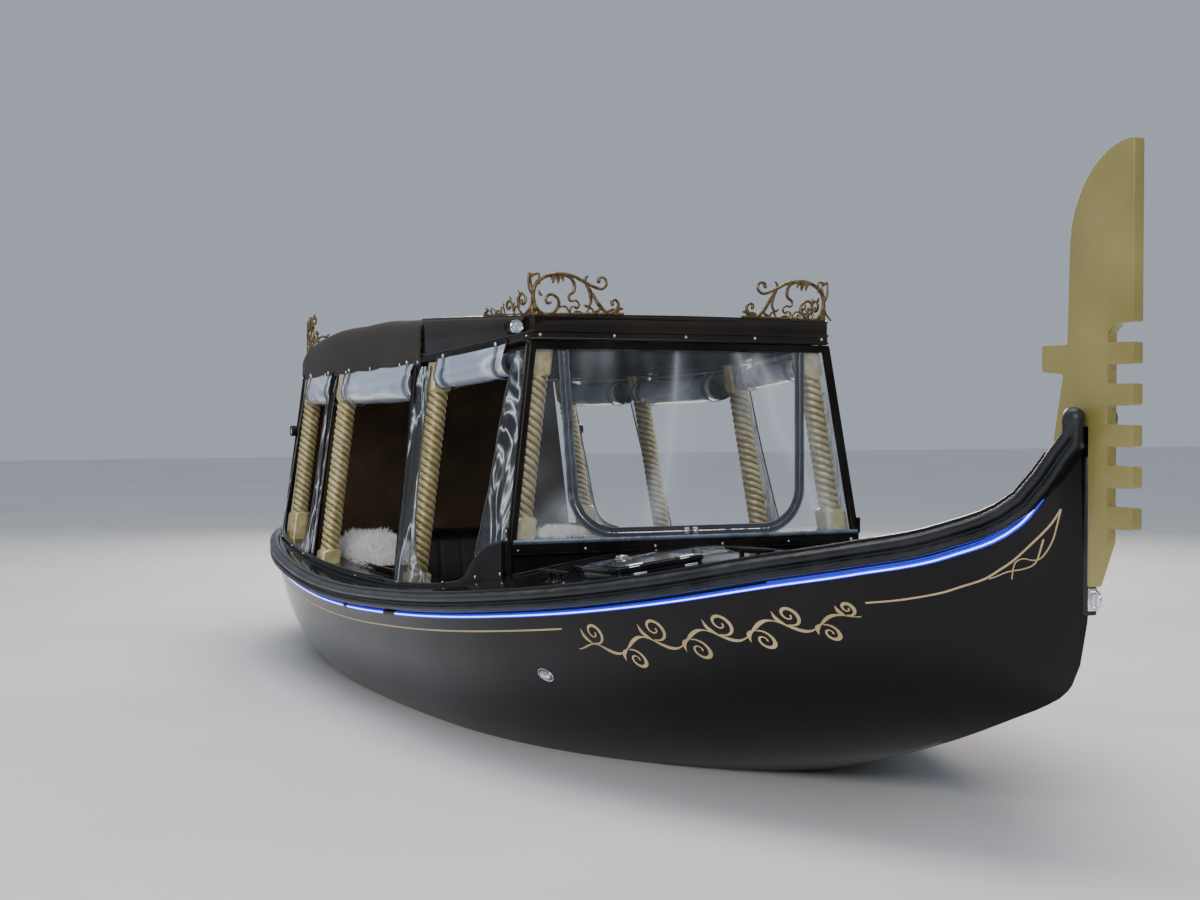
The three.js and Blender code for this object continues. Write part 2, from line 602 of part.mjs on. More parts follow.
function columnFoot(station, side) {
  if (station.foot) return station.foot;
  const [x, y] = columnAxis(station, side, deckTop(station.x, station.halfSpan + 90));
  const h = PLINTH_SIZE / 2;
  const corners = [[x - h, y - h], [x + h, y - h], [x - h, y + h], [x + h, y + h]];
  return Math.min(...corners.map(([cx, cy]) => deckTop(cx, cy))) - BEDDED;
}

const columnTop = (station) => at(ROOF, station.x - CAP_SIZE / 2, 'bottom') - 1;

// Rope-twist shaft between a square plinth and a square cap, all on one leaning axis
function column(station, side) {
  const foot = columnFoot(station, side);
  const top = columnTop(station);
  const [low, high] = [foot + station.plinth, top - CAP_TALL];
  const axis = (z) => columnAxis(station, side, z);
  const steps = Math.round((high - low) / ROPE.step);
  const points = ROPE.strands * 2;
  const ropeLoops = evenly(low - 2, high + 2, steps).map((z) => {
    const [x, y] = axis(z);
    const turn = (-2 * Math.PI * (z - low)) / ROPE.lead;
    return Array.from({ length: points }, (_, k) => {
      const angle = turn + (2 * Math.PI * k) / points;
      const radius = k % 2 ? ROPE.radius - ROPE.groove : ROPE.radius;
      return [x + radius * Math.cos(angle), y + radius * Math.sin(angle), z];
    });
  });
  const plinth = loft([squareLoop(axis(foot), PLINTH_SIZE), squareLoop(axis(low), PLINTH_SIZE - 6)]);
  const cap = loft([squareLoop(axis(high), CAP_SIZE - 4), squareLoop(axis(top), CAP_SIZE)]);
  return settle(join(loft(ropeLoops), plinth, cap));
}

function cabinTub() {
  const tub = (wall) => loft(WELL.map(({ x, top, sole }, i) => {
    const end = i === 0 ? wall : i === WELL.length - 1 ? -wall : 0;
    const rim = deckTop(x, top) + (wall ? TUB_SPARE : TUB_LIP);
    const floor = SOLE_TOP - TUB_WALL + wall;
    const grow = wall ? (TUB_SPARE - TUB_LIP) * ((top - sole) / (deckTop(x, top) + TUB_LIP - floor)) : 0;
    return [
      [x + end, top - wall + grow, rim], [x + end, sole - wall, floor],
      [x + end, -sole + wall, floor], [x + end, -top + wall - grow, rim],
    ];
  }));
  return cut(tub(0), tub(TUB_WALL));
}

function sideFrame(side) {
  const coaming = loft(COAMING.map(({ x, y, top }) => {
    const [inner, outer] = [y - COAMING_HALF, y + COAMING_HALF];
    const low = Math.min(deckTop(x, inner), deckTop(x, outer)) - BEDDED;
    return [[x, side * inner, low], [x, side * outer, low], [x, side * outer, top], [x, side * inner, top]];
  }));
  const rows = ROOF.filter((row) => row.x > HEADER.aft && row.x < HEADER.fore);
  const header = loft([...rows, { ...ROOF[ROOF.length - 1], x: HEADER.fore }].map(({ x, bottom, half }) => {
    const outer = half - ROOF_SKIN - 1;
    const [inner, top] = [outer - HEADER.deep, bottom + HEADER.tall];
    return [
      [x, side * outer, bottom], [x, side * inner, bottom], [x, side * inner, top], [x, side * outer, top],
    ];
  }));
  const posts = SIDE_POSTS.map((post) => {
    const foot = rowAt(COAMING, post.foot);
    const head = rowAt(ROOF, post.head);
    return rod([foot.x, side * (foot.y - POST.footInboard), foot.top - POST.footIn],
      [head.x, side * (head.half - POST.headInboard), head.bottom + POST.headIn], POST.radius, 8);
  });
  return settle(join(coaming, header, ...posts));
}

// The leaning post at the windscreen's side, from `below` its foot to `above` its head
function windscreenPost(side, radius, below, above) {
  const { sillX, sillZ, sillHalf, headX, headZ, headHalf } = WINDSCREEN;
  const foot = new THREE.Vector3(sillX, side * sillHalf, sillZ);
  const head = new THREE.Vector3(headX, side * headHalf, headZ);
  const up = head.clone().sub(foot).normalize();
  return rod(foot.addScaledVector(up, -below).toArray(), head.addScaledVector(up, above).toArray(), radius);
}

function windscreenFrame() {
  const { sillX, sillZ, sillHalf, headX, headZ, headHalf } = WINDSCREEN;
  const across = evenly(sillHalf, -sillHalf, 12);
  const [wallAft, wallTop] = [sillX - SILL.wall, sillZ - SILL.wallTop];
  const wallOutline = [...across.map((y) => [y, Math.min(deckTop(wallAft, y), deckTop(sillX, y)) - BEDDED]),
    [-sillHalf, wallTop], [sillHalf, wallTop]];
  const shape = new THREE.Shape(wallOutline.map(([y, z]) => new THREE.Vector2(y, z)));
  const wall = new THREE.ExtrudeGeometry(shape, { depth: SILL.wall, bevelEnabled: false });
  wall.applyMatrix4(new THREE.Matrix4().makeBasis(new THREE.Vector3(0, 1, 0), new THREE.Vector3(0, 0, 1),
    new THREE.Vector3(1, 0, 0))).translate(wallAft, 0, 0);
  const [shelfHalf, headBarHalf] = [sillHalf + SILL.shelfWider, headHalf + HEAD_BAR.wider];
  const shelf = block([SILL.shelfAft, -shelfHalf, sillZ - SILL.deep],
    [sillX + SILL.shelfProud, shelfHalf, sillZ]);
  const head = block([headX - HEAD_BAR.aft, -headBarHalf, headZ - HEAD_BAR.deep],
    [headX + HEAD_BAR.fore, headBarHalf, headZ]);
  const posts = Object.values(SIDES).map((side) => windscreenPost(side, WINDSCREEN.postRadius, 12, -10));
  return settle(join(wall, shelf, head, ...posts));
}

// Point on the windscreen's plane
function onScreen(y, z, out = 0) {
  const t = (z - WINDSCREEN.sillZ) / (WINDSCREEN.headZ - WINDSCREEN.sillZ);
  return [WINDSCREEN.sillX + (WINDSCREEN.headX - WINDSCREEN.sillX) * t + out, y, z];
}

function windscreen() {
  const { sillZ, sillHalf, headZ, headHalf, clear, thick } = WINDSCREEN;
  const edge = (half, z) => [onScreen(half - clear, z, -thick / 2), onScreen(half - clear, z, thick / 2),
    onScreen(clear - half, z, thick / 2), onScreen(clear - half, z, -thick / 2)];
  return loft([edge(sillHalf, sillZ + GAP), edge(headHalf, headZ - HEAD_BAR.deep - GAP)]);
}

function windowBinding() {
  const { half, topHalf, low, high, corner, wide, back, face } = BINDING;
  const path = [[-topHalf, high], [-half, low + corner]];
  evenly(0, Math.PI / 2, 4).slice(1).forEach((a) => {
    path.push([-half + corner * (1 - Math.cos(a)), low + corner * (1 - Math.sin(a))]);
  });
  const whole = [...path, ...[...path].reverse().map(([y, z]) => [-y, z])];
  const loops = whole.map(([y, z], i) => {
    const [before, after] = [whole[Math.max(i - 1, 0)], whole[Math.min(i + 1, whole.length - 1)]];
    const length = Math.hypot(after[0] - before[0], after[1] - before[1]);
    const normal = [-(after[1] - before[1]) / length, (after[0] - before[0]) / length];
    const inner = [y + (normal[0] * wide) / 2, z + (normal[1] * wide) / 2];
    const outer = [y - (normal[0] * wide) / 2, z - (normal[1] * wide) / 2];
    return [onScreen(...inner, back), onScreen(...inner, face),
      onScreen(...outer, face), onScreen(...outer, back)];
  });
  return loft(loops);
}

function clearPanel(side) {
  const plane = (z, out) => side
    * (STATIONS[0].halfSpan - LEAN_IN * (z - EYE_LEVEL) + ROPE.radius + PANEL.off + out);
  const edge = ({ z, aft, fore }) => [[aft, plane(z, 0), z], [fore, plane(z, 0), z],
    [fore, plane(z, PANEL.thick), z], [aft, plane(z, PANEL.thick), z]];
  return cut(loft(PANEL_EDGE.map(edge)), windscreenPost(side, WINDSCREEN.postRadius + GAP, 40, 40));
}

function rolledCurtains(side) {
  const rows = ROOF.filter((row) => row.x > BATTEN.aft && row.x < BATTEN.fore);
  const rail = loft([...rows, rowAt(ROOF, BATTEN.fore)].map(({ x, bottom, half }) => {
    const [near, far] = [side * (half + BATTEN.near), side * (half + BATTEN.far)];
    const [low, high] = [bottom + BATTEN.low, bottom + BATTEN.high];
    return [[x, near, high], [x, far, high], [x, far, low], [x, near, low]];
  }));
  const straps = ROLLS.flatMap(({ aft, fore }) => [aft + STRAP.inset, fore - STRAP.inset].map((x) => {
    const { bottom, half } = rowAt(ROOF, x);
    const [near, far] = [side * (half + STRAP.near), side * (half + STRAP.far)];
    return block([x - STRAP.half, Math.min(near, far), bottom - STRAP.below],
      [x + STRAP.half, Math.max(near, far), bottom + STRAP.above]);
  }));
  const rolls = ROLLS.map(({ aft, fore, radius }) => {
    const end = (x) => {
      const { bottom, half } = rowAt(ROOF, x);
      return [x, side * (half - radius / 2), bottom - ROLL_DROP - radius];
    };
    return rod(end(aft), end(fore), radius);
  });
  return join(rail, ...straps, ...rolls);
}

function straightRow(table, x) {
  const i = Math.max(table.findIndex((row, n) => n < table.length - 1 && x <= table[n + 1].x), 0);
  const [a, b] = [table[i], table[i + 1]];
  const t = (x - a.x) / (b.x - a.x);
  return Object.fromEntries(Object.keys(a).map((key) => [key, a[key] + (b[key] - a[key]) * t]));
}

function rowAt(table, x) {
  return Object.fromEntries(Object.keys(table[0]).map((key) => [key, key === 'x' ? x : at(table, x, key)]));
}

// A lid over the cabin: side boards and a crowned top
function lid(from, to, inset, floorDrop) {
  const between = ROOF.filter((row) => row.x > from + ROW_SPACE && row.x < to - ROW_SPACE);
  const rows = [rowAt(ROOF, from), ...between, rowAt(ROOF, to)];
  return loft(rows.map(({ x, top, bottom, half }) => {
    const side = half - inset;
    const low = bottom - floorDrop;
    const shoulder = top - ROOF_EDGE.down - inset;
    const crown = evenly(side - ROOF_EDGE.in, ROOF_EDGE.in - side, 6).map((y) => [
      x, y, top - inset + ROOF_CROWN * (1 - (y / side) ** 2),
    ]);
    return [[x, side, low], [x, side, shoulder], ...crown, [x, -side, shoulder], [x, -side, low]];
  }));
}

function roofFront() {
  return cut(lid(ROOF_SPLIT + GAP, ROOF_FORE, 0, 0),
    lid(ROOF_SPLIT - LID_REACH, ROOF_FORE - ROOF_SKIN, ROOF_SKIN, LID_REACH));
}

function canvasCover() {
  return cut(lid(ROOF[0].x, ROOF_SPLIT, 0, 0),
    lid(ROOF[0].x + ROOF_SKIN, ROOF_SPLIT + LID_REACH, ROOF_SKIN, LID_REACH));
}

function aftBulkhead() {
  const high = at(ROOF, BULKHEAD.x, 'bottom') - 1;
  const foot = evenly(BULKHEAD.lowHalf, -BULKHEAD.lowHalf, 8).map((y) => [y, deckTop(BULKHEAD.x, y) - BEDDED]);
  const outline = [...foot, [-BULKHEAD.highHalf, high], [BULKHEAD.highHalf, high]];
  const slab = (x) => outline.map(([y, z]) => [x, y, z]);
  return settle(loft([slab(BULKHEAD.x - BULKHEAD.thick), slab(BULKHEAD.x)]));
}

// Scrollwork
const roofTop = (x, y) => at(ROOF, x, 'top') + ROOF_CROWN * (1 - (y / at(ROOF, x, 'half')) ** 2);

// A flat stroke that tapers along a smooth curve through its points
function ribbon(points, place) {
  const through = points.map(([s, z]) => new THREE.Vector3(s, z, 0));
  const curve = new THREE.CatmullRomCurve3(through, false, 'centripetal');
  const path = curve.getSpacedPoints(Math.max(Math.round(curve.getLength() / SCROLL.spacing), 3));
  const loops = path.map((point, i) => {
    const ahead = path[Math.min(i + 1, path.length - 1)].clone().sub(path[Math.max(i - 1, 0)]).normalize();
    const half = (SCROLL.wide * (1 - SCROLL.taper * (i / (path.length - 1)))) / 2;
    return [[1, 1], [1, -1], [-1, -1], [-1, 1]].map(([n, t]) => place(
      point.x - ahead.y * half * n, point.y + ahead.x * half * n, (t * SCROLL.thick) / 2));
  });
  return loft(loops);
}

function scrollwork(end, side) {
  const [cornerX, cornerY] = [end.x, side * (rowAt(ROOF, end.x).half - SCROLL.inset)];
  const edge = (x) => side * (rowAt(ROOF, x).half - SCROLL.inset);
  const athwart = (s, z, t) => [cornerX + t, cornerY - side * s, roofTop(cornerX, cornerY - side * s) + z];
  const lengthwise = (s, z, t) => {
    const x = cornerX + end.aim * s;
    return [x, edge(x) + t, roofTop(x, edge(x)) + z];
  };
  const wing = ({ long, strokes }, place) => {
    const bar = loft(evenly(-SCROLL.thick / 2, long, 8).map((s) => [
      [-SCROLL.bedded, -1], [SCROLL.bar, -1], [SCROLL.bar, 1], [-SCROLL.bedded, 1],
    ].map(([z, t]) => place(s, z, (t * SCROLL.thick) / 2))));
    return [bar, ...strokes.map((stroke) => ribbon(stroke, place))];
  };
  const whole = join(...wing(end.athwart, athwart), ...wing(end.lengthwise, lengthwise));
  return cut(whole, lid(ROOF[0].x, ROOF_FORE, 0, 0).translate(0, 0, GAP));
}

// Fittings
function cleat({ x, y, turn }) {
  const legs = CLEAT.legs.map((place) => rod([place, 0, 0], [place, 0, CLEAT.level], CLEAT.legRadius, 8));
  const pad = block(CLEAT.pad.map((half) => -half), CLEAT.pad);
  const horn = rod([-CLEAT.horn, 0, CLEAT.level], [CLEAT.horn, 0, CLEAT.level], CLEAT.hornRadius, 8);
  return settle(join(pad, horn, ...legs).rotateZ(turn).translate(x, y, deckTop(x, y) + 1));
}

function spotLamp(side) {
  const x = ROOF_FORE + LAMP.back;
  const y = side * (rowAt(ROOF, x).half + LAMP.out);
  const body = rod([x - LAMP.long, y, LAMP.level], [x + LAMP.ahead, y, LAMP.level], LAMP.radius, 12);
  const near = y - side * (LAMP.out + LAMP.stemIn);
  const stem = block([x - LAMP.stemLong, Math.min(near, y), LAMP.level - LAMP.stemHalf],
    [x, Math.max(near, y), LAMP.level + LAMP.stemHalf]);
  return cut(join(body, stem), lid(ROOF_SPLIT, ROOF_FORE, 0, 0).translate(0, side * GAP, 0));
}

function cushion([lx, ly, lz], [hx, hy, hz], crown) {
  const { under, foot, over } = SOFT_EDGE;
  const inset = (x0, x1, y0, y1, z) => [[x0, y0, z], [x1, y0, z], [x1, y1, z], [x0, y1, z]];
  return loft([inset(lx + under, hx - under, ly + under, hy - under, lz), inset(lx, hx, ly, hy, lz + foot),
    inset(lx, hx, ly, hy, hz - crown), inset(lx + over, hx - over, ly + over, hy - over, hz)]);
}

function sidePad(side) {
  const pad = loft(PAD_ROWS.map((x) => {
    const { top, sole } = straightRow(WELL, x);
    const rim = deckTop(x, top) + TUB_LIP;
    const wallAt = (z) => sole - TUB_WALL - PAD.clear + ((top - sole) * (z - SOLE_TOP)) / (rim - SOLE_TOP);
    return [
      [x, side * wallAt(PAD.low), PAD.low], [x, side * wallAt(PAD.high), PAD.high],
      [x, side * (wallAt(PAD.high) - PAD.thick), PAD.high + PAD.lean],
      [x, side * (wallAt(PAD.low) - PAD.thick), PAD.low],
    ];
  }));
  return cut(pad, tubSolid.clone().translate(0, -side * GAP, 0));
}

// Helm, propeller and rudder
const helmAxis = new THREE.Vector3(-Math.cos(HELM.tilt), 0, Math.sin(HELM.tilt));
const tubSolid = cabinTub();

function helmConsole() {
  const low = deckTop(HELM.fore, HELM.wide / 2) - BEDDED;
  const faceUp = [Math.sin(HELM.tilt), Math.cos(HELM.tilt)];
  const faceLow = [HELM.aft, HELM.faceZ];
  const faceHigh = [HELM.aft + faceUp[0] * HELM.face, HELM.faceZ + faceUp[1] * HELM.face];
  const outline = [[HELM.fore, low], [HELM.fore, faceHigh[1]], faceHigh, faceLow, [HELM.aft, low]];
  const box = extrudeAcross(outline, HELM.wide);
  const outward = HELM.wide / 2 + LEVER.out;
  const hub = rod([LEVER.x, HELM.wide / 2 - 2, LEVER.level], [LEVER.x, outward, LEVER.level], LEVER.hub);
  const head = [LEVER.x - LEVER.rake, outward - LEVER.radius, LEVER.level + LEVER.tall];
  const lever = rod([LEVER.x, outward - LEVER.radius, LEVER.level], head, LEVER.radius, 8);
  const knob = new THREE.SphereGeometry(LEVER.knob, 10, 6).translate(...head);
  return settle(join(box, hub, lever, knob));
}

function wheelHub() {
  const [sin, cos] = [Math.sin(HELM.tilt), Math.cos(HELM.tilt)];
  const face = new THREE.Vector3(HELM.aft + (sin * HELM.face) / 2, 0, HELM.faceZ + (cos * HELM.face) / 2);
  return { face, centre: face.clone().addScaledVector(helmAxis, WHEEL.off) };
}

function steeringWheel() {
  const { face, centre } = wheelHub();
  const turned = (geometry) => geometry.applyQuaternion(new THREE.Quaternion().setFromUnitVectors(
    new THREE.Vector3(0, 0, 1), helmAxis)).translate(centre.x, centre.y, centre.z);
  const rim = turned(new THREE.TorusGeometry(WHEEL.radius, WHEEL.rim, 6, 18));
  const spokes = Array.from({ length: WHEEL.spokes }, (_, i) => {
    const angle = Math.PI / 2 + (2 * Math.PI * i) / WHEEL.spokes;
    return turned(rod([0, 0, 0], [Math.cos(angle) * WHEEL.radius, Math.sin(angle) * WHEEL.radius, 0],
      WHEEL.spoke, 6));
  });
  const shaft = rod(face.clone().addScaledVector(helmAxis, GAP).toArray(), centre.toArray(), WHEEL.shaft);
  const hub = rod(centre.clone().addScaledVector(helmAxis, -WHEEL.hubBack).toArray(),
    centre.clone().addScaledVector(helmAxis, WHEEL.hubFore).toArray(), WHEEL.hub);
  return join(rim, hub, shaft, ...spokes);
}

function propeller() {
  const hub = rod([PROP.x - PROP.hubBack, 0, PROP.z], [BOSS.aft - GAP, 0, PROP.z], PROP.hub);
  const cone = new THREE.ConeGeometry(PROP.hub, PROP.cone, 12).rotateZ(Math.PI / 2)
    .translate(PROP.x - PROP.hubBack - PROP.cone / 2 + 1, 0, PROP.z);
  const blades = Array.from({ length: PROP.blades }, (_, i) => {
    const blade = loft(PROP_SECTIONS.map(({ r, chord, pitch, thick }) => {
      const [c, s] = [Math.cos(pitch), Math.sin(pitch)];
      return [[1, 0], [0, 1], [-1, 0], [0, -1]].map(([a, b]) => [
        (a * chord * s) / 2 - (b * thick * c) / 2, (a * chord * c) / 2 + (b * thick * s) / 2, r,
      ]);
    }));
    return blade.rotateX((2 * Math.PI * i) / PROP.blades).translate(PROP.x, 0, PROP.z);
  });
  return join(hub, cone, ...blades);
}

function rudder() {
  const blade = loft([RUDDER.low, RUDDER.high].map((z) => [
    [RUDDER.x + RUDDER.ahead, 0, z], [RUDDER.x, RUDDER.thick / 2, z], [RUDDER.x - RUDDER.behind, 0, z],
    [RUDDER.x, -RUDDER.thick / 2, z],
  ]));
  const stock = rod([RUDDER.x, 0, RUDDER.stockLow], [RUDDER.x, 0, RUDDER.stockTop], RUDDER.stock);
  return join(blade, stock);
}

add('hull', hull(), 'gelcoat');
add('keel_skeg', keelSkeg(), 'gelcoat');
add('deck', deck(), 'gelcoat');
add('rub_rail', rubRail(), 'rubber');
add('stem_band', stemBand(), 'rubber');
add('ferro', ferro(), 'gold');
add('bow_eye', bowEye(), 'chrome');
add('cabin_tub', tubSolid, 'black');
add('windscreen_frame', windscreenFrame(), 'black');
add('windscreen', windscreen(), 'clear');
add('window_binding', windowBinding(), 'rubber');
add('roof_front', roofFront(), 'gelcoat');
add('canvas_cover', canvasCover(), 'canvas');
add('aft_bulkhead', aftBulkhead(), 'canvas');
for (const [name, side] of Object.entries(SIDES)) {
  add(`light_strip_${name}`, lightStrip(side), 'lit');
  add(`side_frame_${name}`, sideFrame(side), 'black');
  add(`clear_panel_${name}`, clearPanel(side), 'clear');
  add(`rolled_curtains_${name}`, rolledCurtains(side), 'clear');
  add(`side_pad_${name}`, sidePad(side), 'red');
  add(`foredeck_hatch_${name}`, hatchLid(side), 'gelcoat');
  for (const station of STATIONS) add(`column_${station.number}_${name}`, column(station, side), 'ropeGold');
  for (const end of SCROLL_ENDS) add(`scrollwork_${end.name}_${name}`, scrollwork(end, side), 'brass');
  for (const spot of CLEATS) {
    add(`cleat_${spot.name}_${name}`, cleat({ x: spot.x, y: side * spot.y, turn: side * spot.turn }), 'chrome');
  }
}
for (const { name, low, high, crown = 0, finish } of FURNITURE) {
  add(name, crown ? cushion(low, high, crown) : block(low, high), finish);
}
add('spot_lamp_starboard', spotLamp(SIDES.starboard), 'black');
add('helm_console', helmConsole(), 'black');
add('steering_wheel', steeringWheel(), 'teak');
add('propeller', propeller(), 'bronze');
add('rudder', rudder(), 'bronze');

export default boat;
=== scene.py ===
import json
import math

import bmesh
import bpy
import numpy as np
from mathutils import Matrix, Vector

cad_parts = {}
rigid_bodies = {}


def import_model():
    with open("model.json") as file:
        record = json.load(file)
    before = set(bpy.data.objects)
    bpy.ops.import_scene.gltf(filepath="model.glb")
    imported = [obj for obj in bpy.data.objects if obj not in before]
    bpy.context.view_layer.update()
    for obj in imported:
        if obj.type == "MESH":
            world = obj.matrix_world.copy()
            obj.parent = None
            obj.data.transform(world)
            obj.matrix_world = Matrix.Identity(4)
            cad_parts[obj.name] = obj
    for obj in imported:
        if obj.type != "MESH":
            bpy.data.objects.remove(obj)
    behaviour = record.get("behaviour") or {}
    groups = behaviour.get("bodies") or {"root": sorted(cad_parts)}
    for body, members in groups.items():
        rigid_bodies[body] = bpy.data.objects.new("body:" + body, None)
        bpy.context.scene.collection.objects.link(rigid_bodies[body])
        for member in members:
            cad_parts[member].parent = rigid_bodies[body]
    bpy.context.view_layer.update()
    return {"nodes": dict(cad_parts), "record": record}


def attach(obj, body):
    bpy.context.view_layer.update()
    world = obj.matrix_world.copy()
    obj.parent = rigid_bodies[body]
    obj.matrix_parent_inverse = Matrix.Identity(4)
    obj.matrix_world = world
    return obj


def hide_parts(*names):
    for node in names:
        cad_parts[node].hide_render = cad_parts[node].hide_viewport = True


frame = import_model()
NODES = frame["nodes"]
SIDES = {"starboard": -1, "port": 1}
MM = 0.001

# The view: metres, degrees and pixels of a 1200 px wide picture
IMAGE_WIDE = 1200
CAMERA = {"place": (5.986, -2.671, 1.05), "yaw": 24.10, "pitch": 1.411, "focal_px": 1799.5}
SENSOR = 36.0


# Sizes, all in millimetres from here on: +X to the bow, +Y to port, the waterline at z = 0
def table(names, *rows):
    """The rows' columns by name; the first is the station x."""
    return {name: np.array([row[i] for row in rows], float) for i, name in enumerate(names.split())}


HULL = table(
    "x beam sheer keel bilge_y bilge_z",
    (-2910, 38, 506, 372, 34, 400), (-2870, 115, 503, 252, 100, 290), (-2800, 210, 499, 152, 190, 185),
    (-2700, 310, 495, 74, 285, 95), (-2550, 415, 490, 10, 385, 5), (-2350, 525, 484, -45, 490, -60),
    (-2050, 655, 477, -100, 620, -125), (-1750, 750, 466, -140, 710, -165),
    (-1350, 838, 440, -175, 800, -205), (-950, 880, 412, -193, 845, -230),
    (-550, 895, 395, -200, 860, -240), (-150, 895, 398, -198, 858, -238), (250, 886, 418, -188, 845, -226),
    (650, 865, 447, -160, 810, -190), (1050, 815, 487, -105, 720, -115), (1450, 715, 538, -22, 560, -5),
    (1750, 605, 590, 56, 410, 110), (2050, 455, 655, 148, 260, 240), (2250, 335, 697, 217, 170, 320),
    (2450, 200, 750, 295, 90, 400), (2600, 92, 836, 358, 42, 470), (2655, 52, 922, 392, 27, 560),
    (2698, 30, 982, 458, 20, 650), (2722, 21, 1003, 560, 17, 700),
)
CAMBER = table(
    "x rise",
    (-2910, 2), (-2600, 10), (-1800, 14), (-1000, 14), (400, 60), (650, 122), (1150, 100), (1650, 53),
    (2050, 22), (2450, 5), (2722, 0.5),
)
ROOF = table(
    "x top bottom half",
    (-2000, 1236, 1168, 560), (-1930, 1262, 1168, 583), (-1760, 1292, 1169, 615), (-1450, 1330, 1172, 648),
    (-1050, 1352, 1176, 664), (-650, 1362, 1186, 655), (-105, 1357, 1202, 626), (690, 1336, 1256, 545),
    (702, 1335.7, 1256.8, 543.8),
)
COAMING = table(
    "x y top",
    (-1790, 722, 512), (-1700, 742, 500), (-1350, 785, 474), (-1002, 800, 450), (-550, 788, 434),
    (-39, 762, 434), (200, 732, 446), (385, 705, 466), (489, 690, 494), (542, 680, 548), (617, 664, 598),
    (716, 648, 622),
)
HULL_WALL, DECK_THICK, RIDGE_POWER, ROOF_CROWN = 18, 14, 1.4, 8
EYE_LEVEL, LEAN_IN, RAKE_AFT = 1050, 0.144, 0.067
STATIONS = table(
    "x half_span foot plinth",
    (650, 518, 628, 70), (-39, 608, 0, 52), (-1002, 656, 0, 60), (-1708, 606, 0, 120),
)
SILL = {"x": 738, "z": 628, "half": 624}
HEAD = {"x": 690, "z": 1254, "half": 536}
ROOF_SPLIT, ROOF_FORE = -130, 702


def at(rows, x, key):
    """The value of a column at station x, on a smooth curve through the rows."""
    stations, values = rows["x"], rows[key]
    x = np.clip(x, stations[0], stations[-1])
    slope = np.diff(values) / np.diff(stations)
    tangent = np.concatenate(([slope[0]], (slope[1:] + slope[:-1]) / 2, [slope[-1]]))
    i = np.clip(np.searchsorted(stations, x, side="right") - 1, 0, len(stations) - 2)
    span = stations[i + 1] - stations[i]
    t = (x - stations[i]) / span
    rise = values[i + 1] - values[i]
    bend = tangent[i] * t * (1 - t) ** 2 - tangent[i + 1] * t * t * (1 - t)
    return values[i] + rise * t * t * (3 - 2 * t) + span * bend


def deck_top(x, y):
    across = np.minimum(np.abs(y) / at(HULL, x, "beam"), 1)
    return at(HULL, x, "sheer") + DECK_THICK + at(CAMBER, x, "rise") * (1 - across ** RIDGE_POWER)


def roof_top(x, y):
    return at(ROOF, x, "top") + ROOF_CROWN * (1 - (y / at(ROOF, x, "half")) ** 2)


def column_axis(station, side, z):
    x, half_span = STATIONS["x"][station], STATIONS["half_span"][station]
    return np.stack([x - RAKE_AFT * (z - EYE_LEVEL), side * (half_span - LEAN_IN * (z - EYE_LEVEL)),
                     z + 0 * x], -1)


def unit(v):
    v = np.asarray(v, float)
    return v / np.maximum(np.linalg.norm(v, axis=-1, keepdims=True), 1e-9)


def gaps(points, axis=0):
    """The distances between neighbouring points."""
    return np.linalg.norm(np.diff(points, axis=axis), axis=-1)


def evenly(line, count):
    """Evenly spaced points along a line."""
    run = np.concatenate(([0], np.cumsum(gaps(line))))
    even = np.linspace(0, run[-1], count)
    return np.stack([np.interp(even, run, column) for column in line.T], -1)


def smooth(points, count):
    """Evenly spaced points on a smooth curve through the given ones."""
    points = np.asarray(points, float)
    knots = np.concatenate(([0], np.cumsum(gaps(points) ** 0.5)))
    fine = np.linspace(0, knots[-1], 12 * len(points))
    return evenly(np.stack([at({"x": knots, "v": column}, fine, "v") for column in points.T], -1), count)


def full_turn(count):
    """Evenly spaced angles once round, in radians."""
    return np.linspace(0, 2 * math.pi, count, endpoint=False)


def arc(centre, radii, start, stop, count):
    """Points on an ellipse's arc in the plane; angles in degrees."""
    angles = np.radians(np.linspace(start, stop, count))
    return [(centre[0] + radii[0] * math.cos(a), centre[1] + radii[1] * math.sin(a)) for a in angles]


# Shapes: pairs of points and faces, made into pieces by made()
def loft(loops, ring=False, capped=True, wrapped=True, folded=False):
    """Joins loops of points; `folded` sections are thin and close between facing points."""
    loops = np.asarray(loops, float)
    n, m = loops.shape[:2]
    faces = []
    for r in range(n if ring else n - 1):
        here, there = r * m, ((r + 1) % n) * m
        for k in range(m if wrapped else m - 1):
            following = (k + 1) % m
            faces.append((here + k, here + following, there + following, there + k))
    if folded:
        for start in (0, (n - 1) * m):
            faces += [(start + k, start + k + 1, start + m - 2 - k, start + m - 1 - k)
                      for k in range(m // 2 - 1)]
    elif capped and wrapped and not ring:
        faces += [tuple(range(m))[::-1], tuple(range((n - 1) * m, n * m))]
    return loops.reshape(-1, 3), faces


def frames_along(path, ring=False, up=None):
    """Unit tangents, normals and cross directions along a path."""
    tangent = unit(np.roll(path, -1, 0) - np.roll(path, 1, 0)) if ring else unit(np.gradient(path, axis=0))
    if up is not None:
        normal = unit(np.asarray(up) - tangent * np.sum(tangent * np.asarray(up), -1, keepdims=True))
        return tangent, normal, np.cross(tangent, normal)
    start = np.cross(tangent[0], (0, 0, 1))
    if np.linalg.norm(start) < 0.1:
        start = np.cross(tangent[0], (1, 0, 0))
    normal = [unit(start)]
    for t in tangent[1:]:
        normal.append(unit(normal[-1] - t * np.dot(normal[-1], t)))
    normal = np.array(normal)
    return tangent, normal, np.cross(tangent, normal)


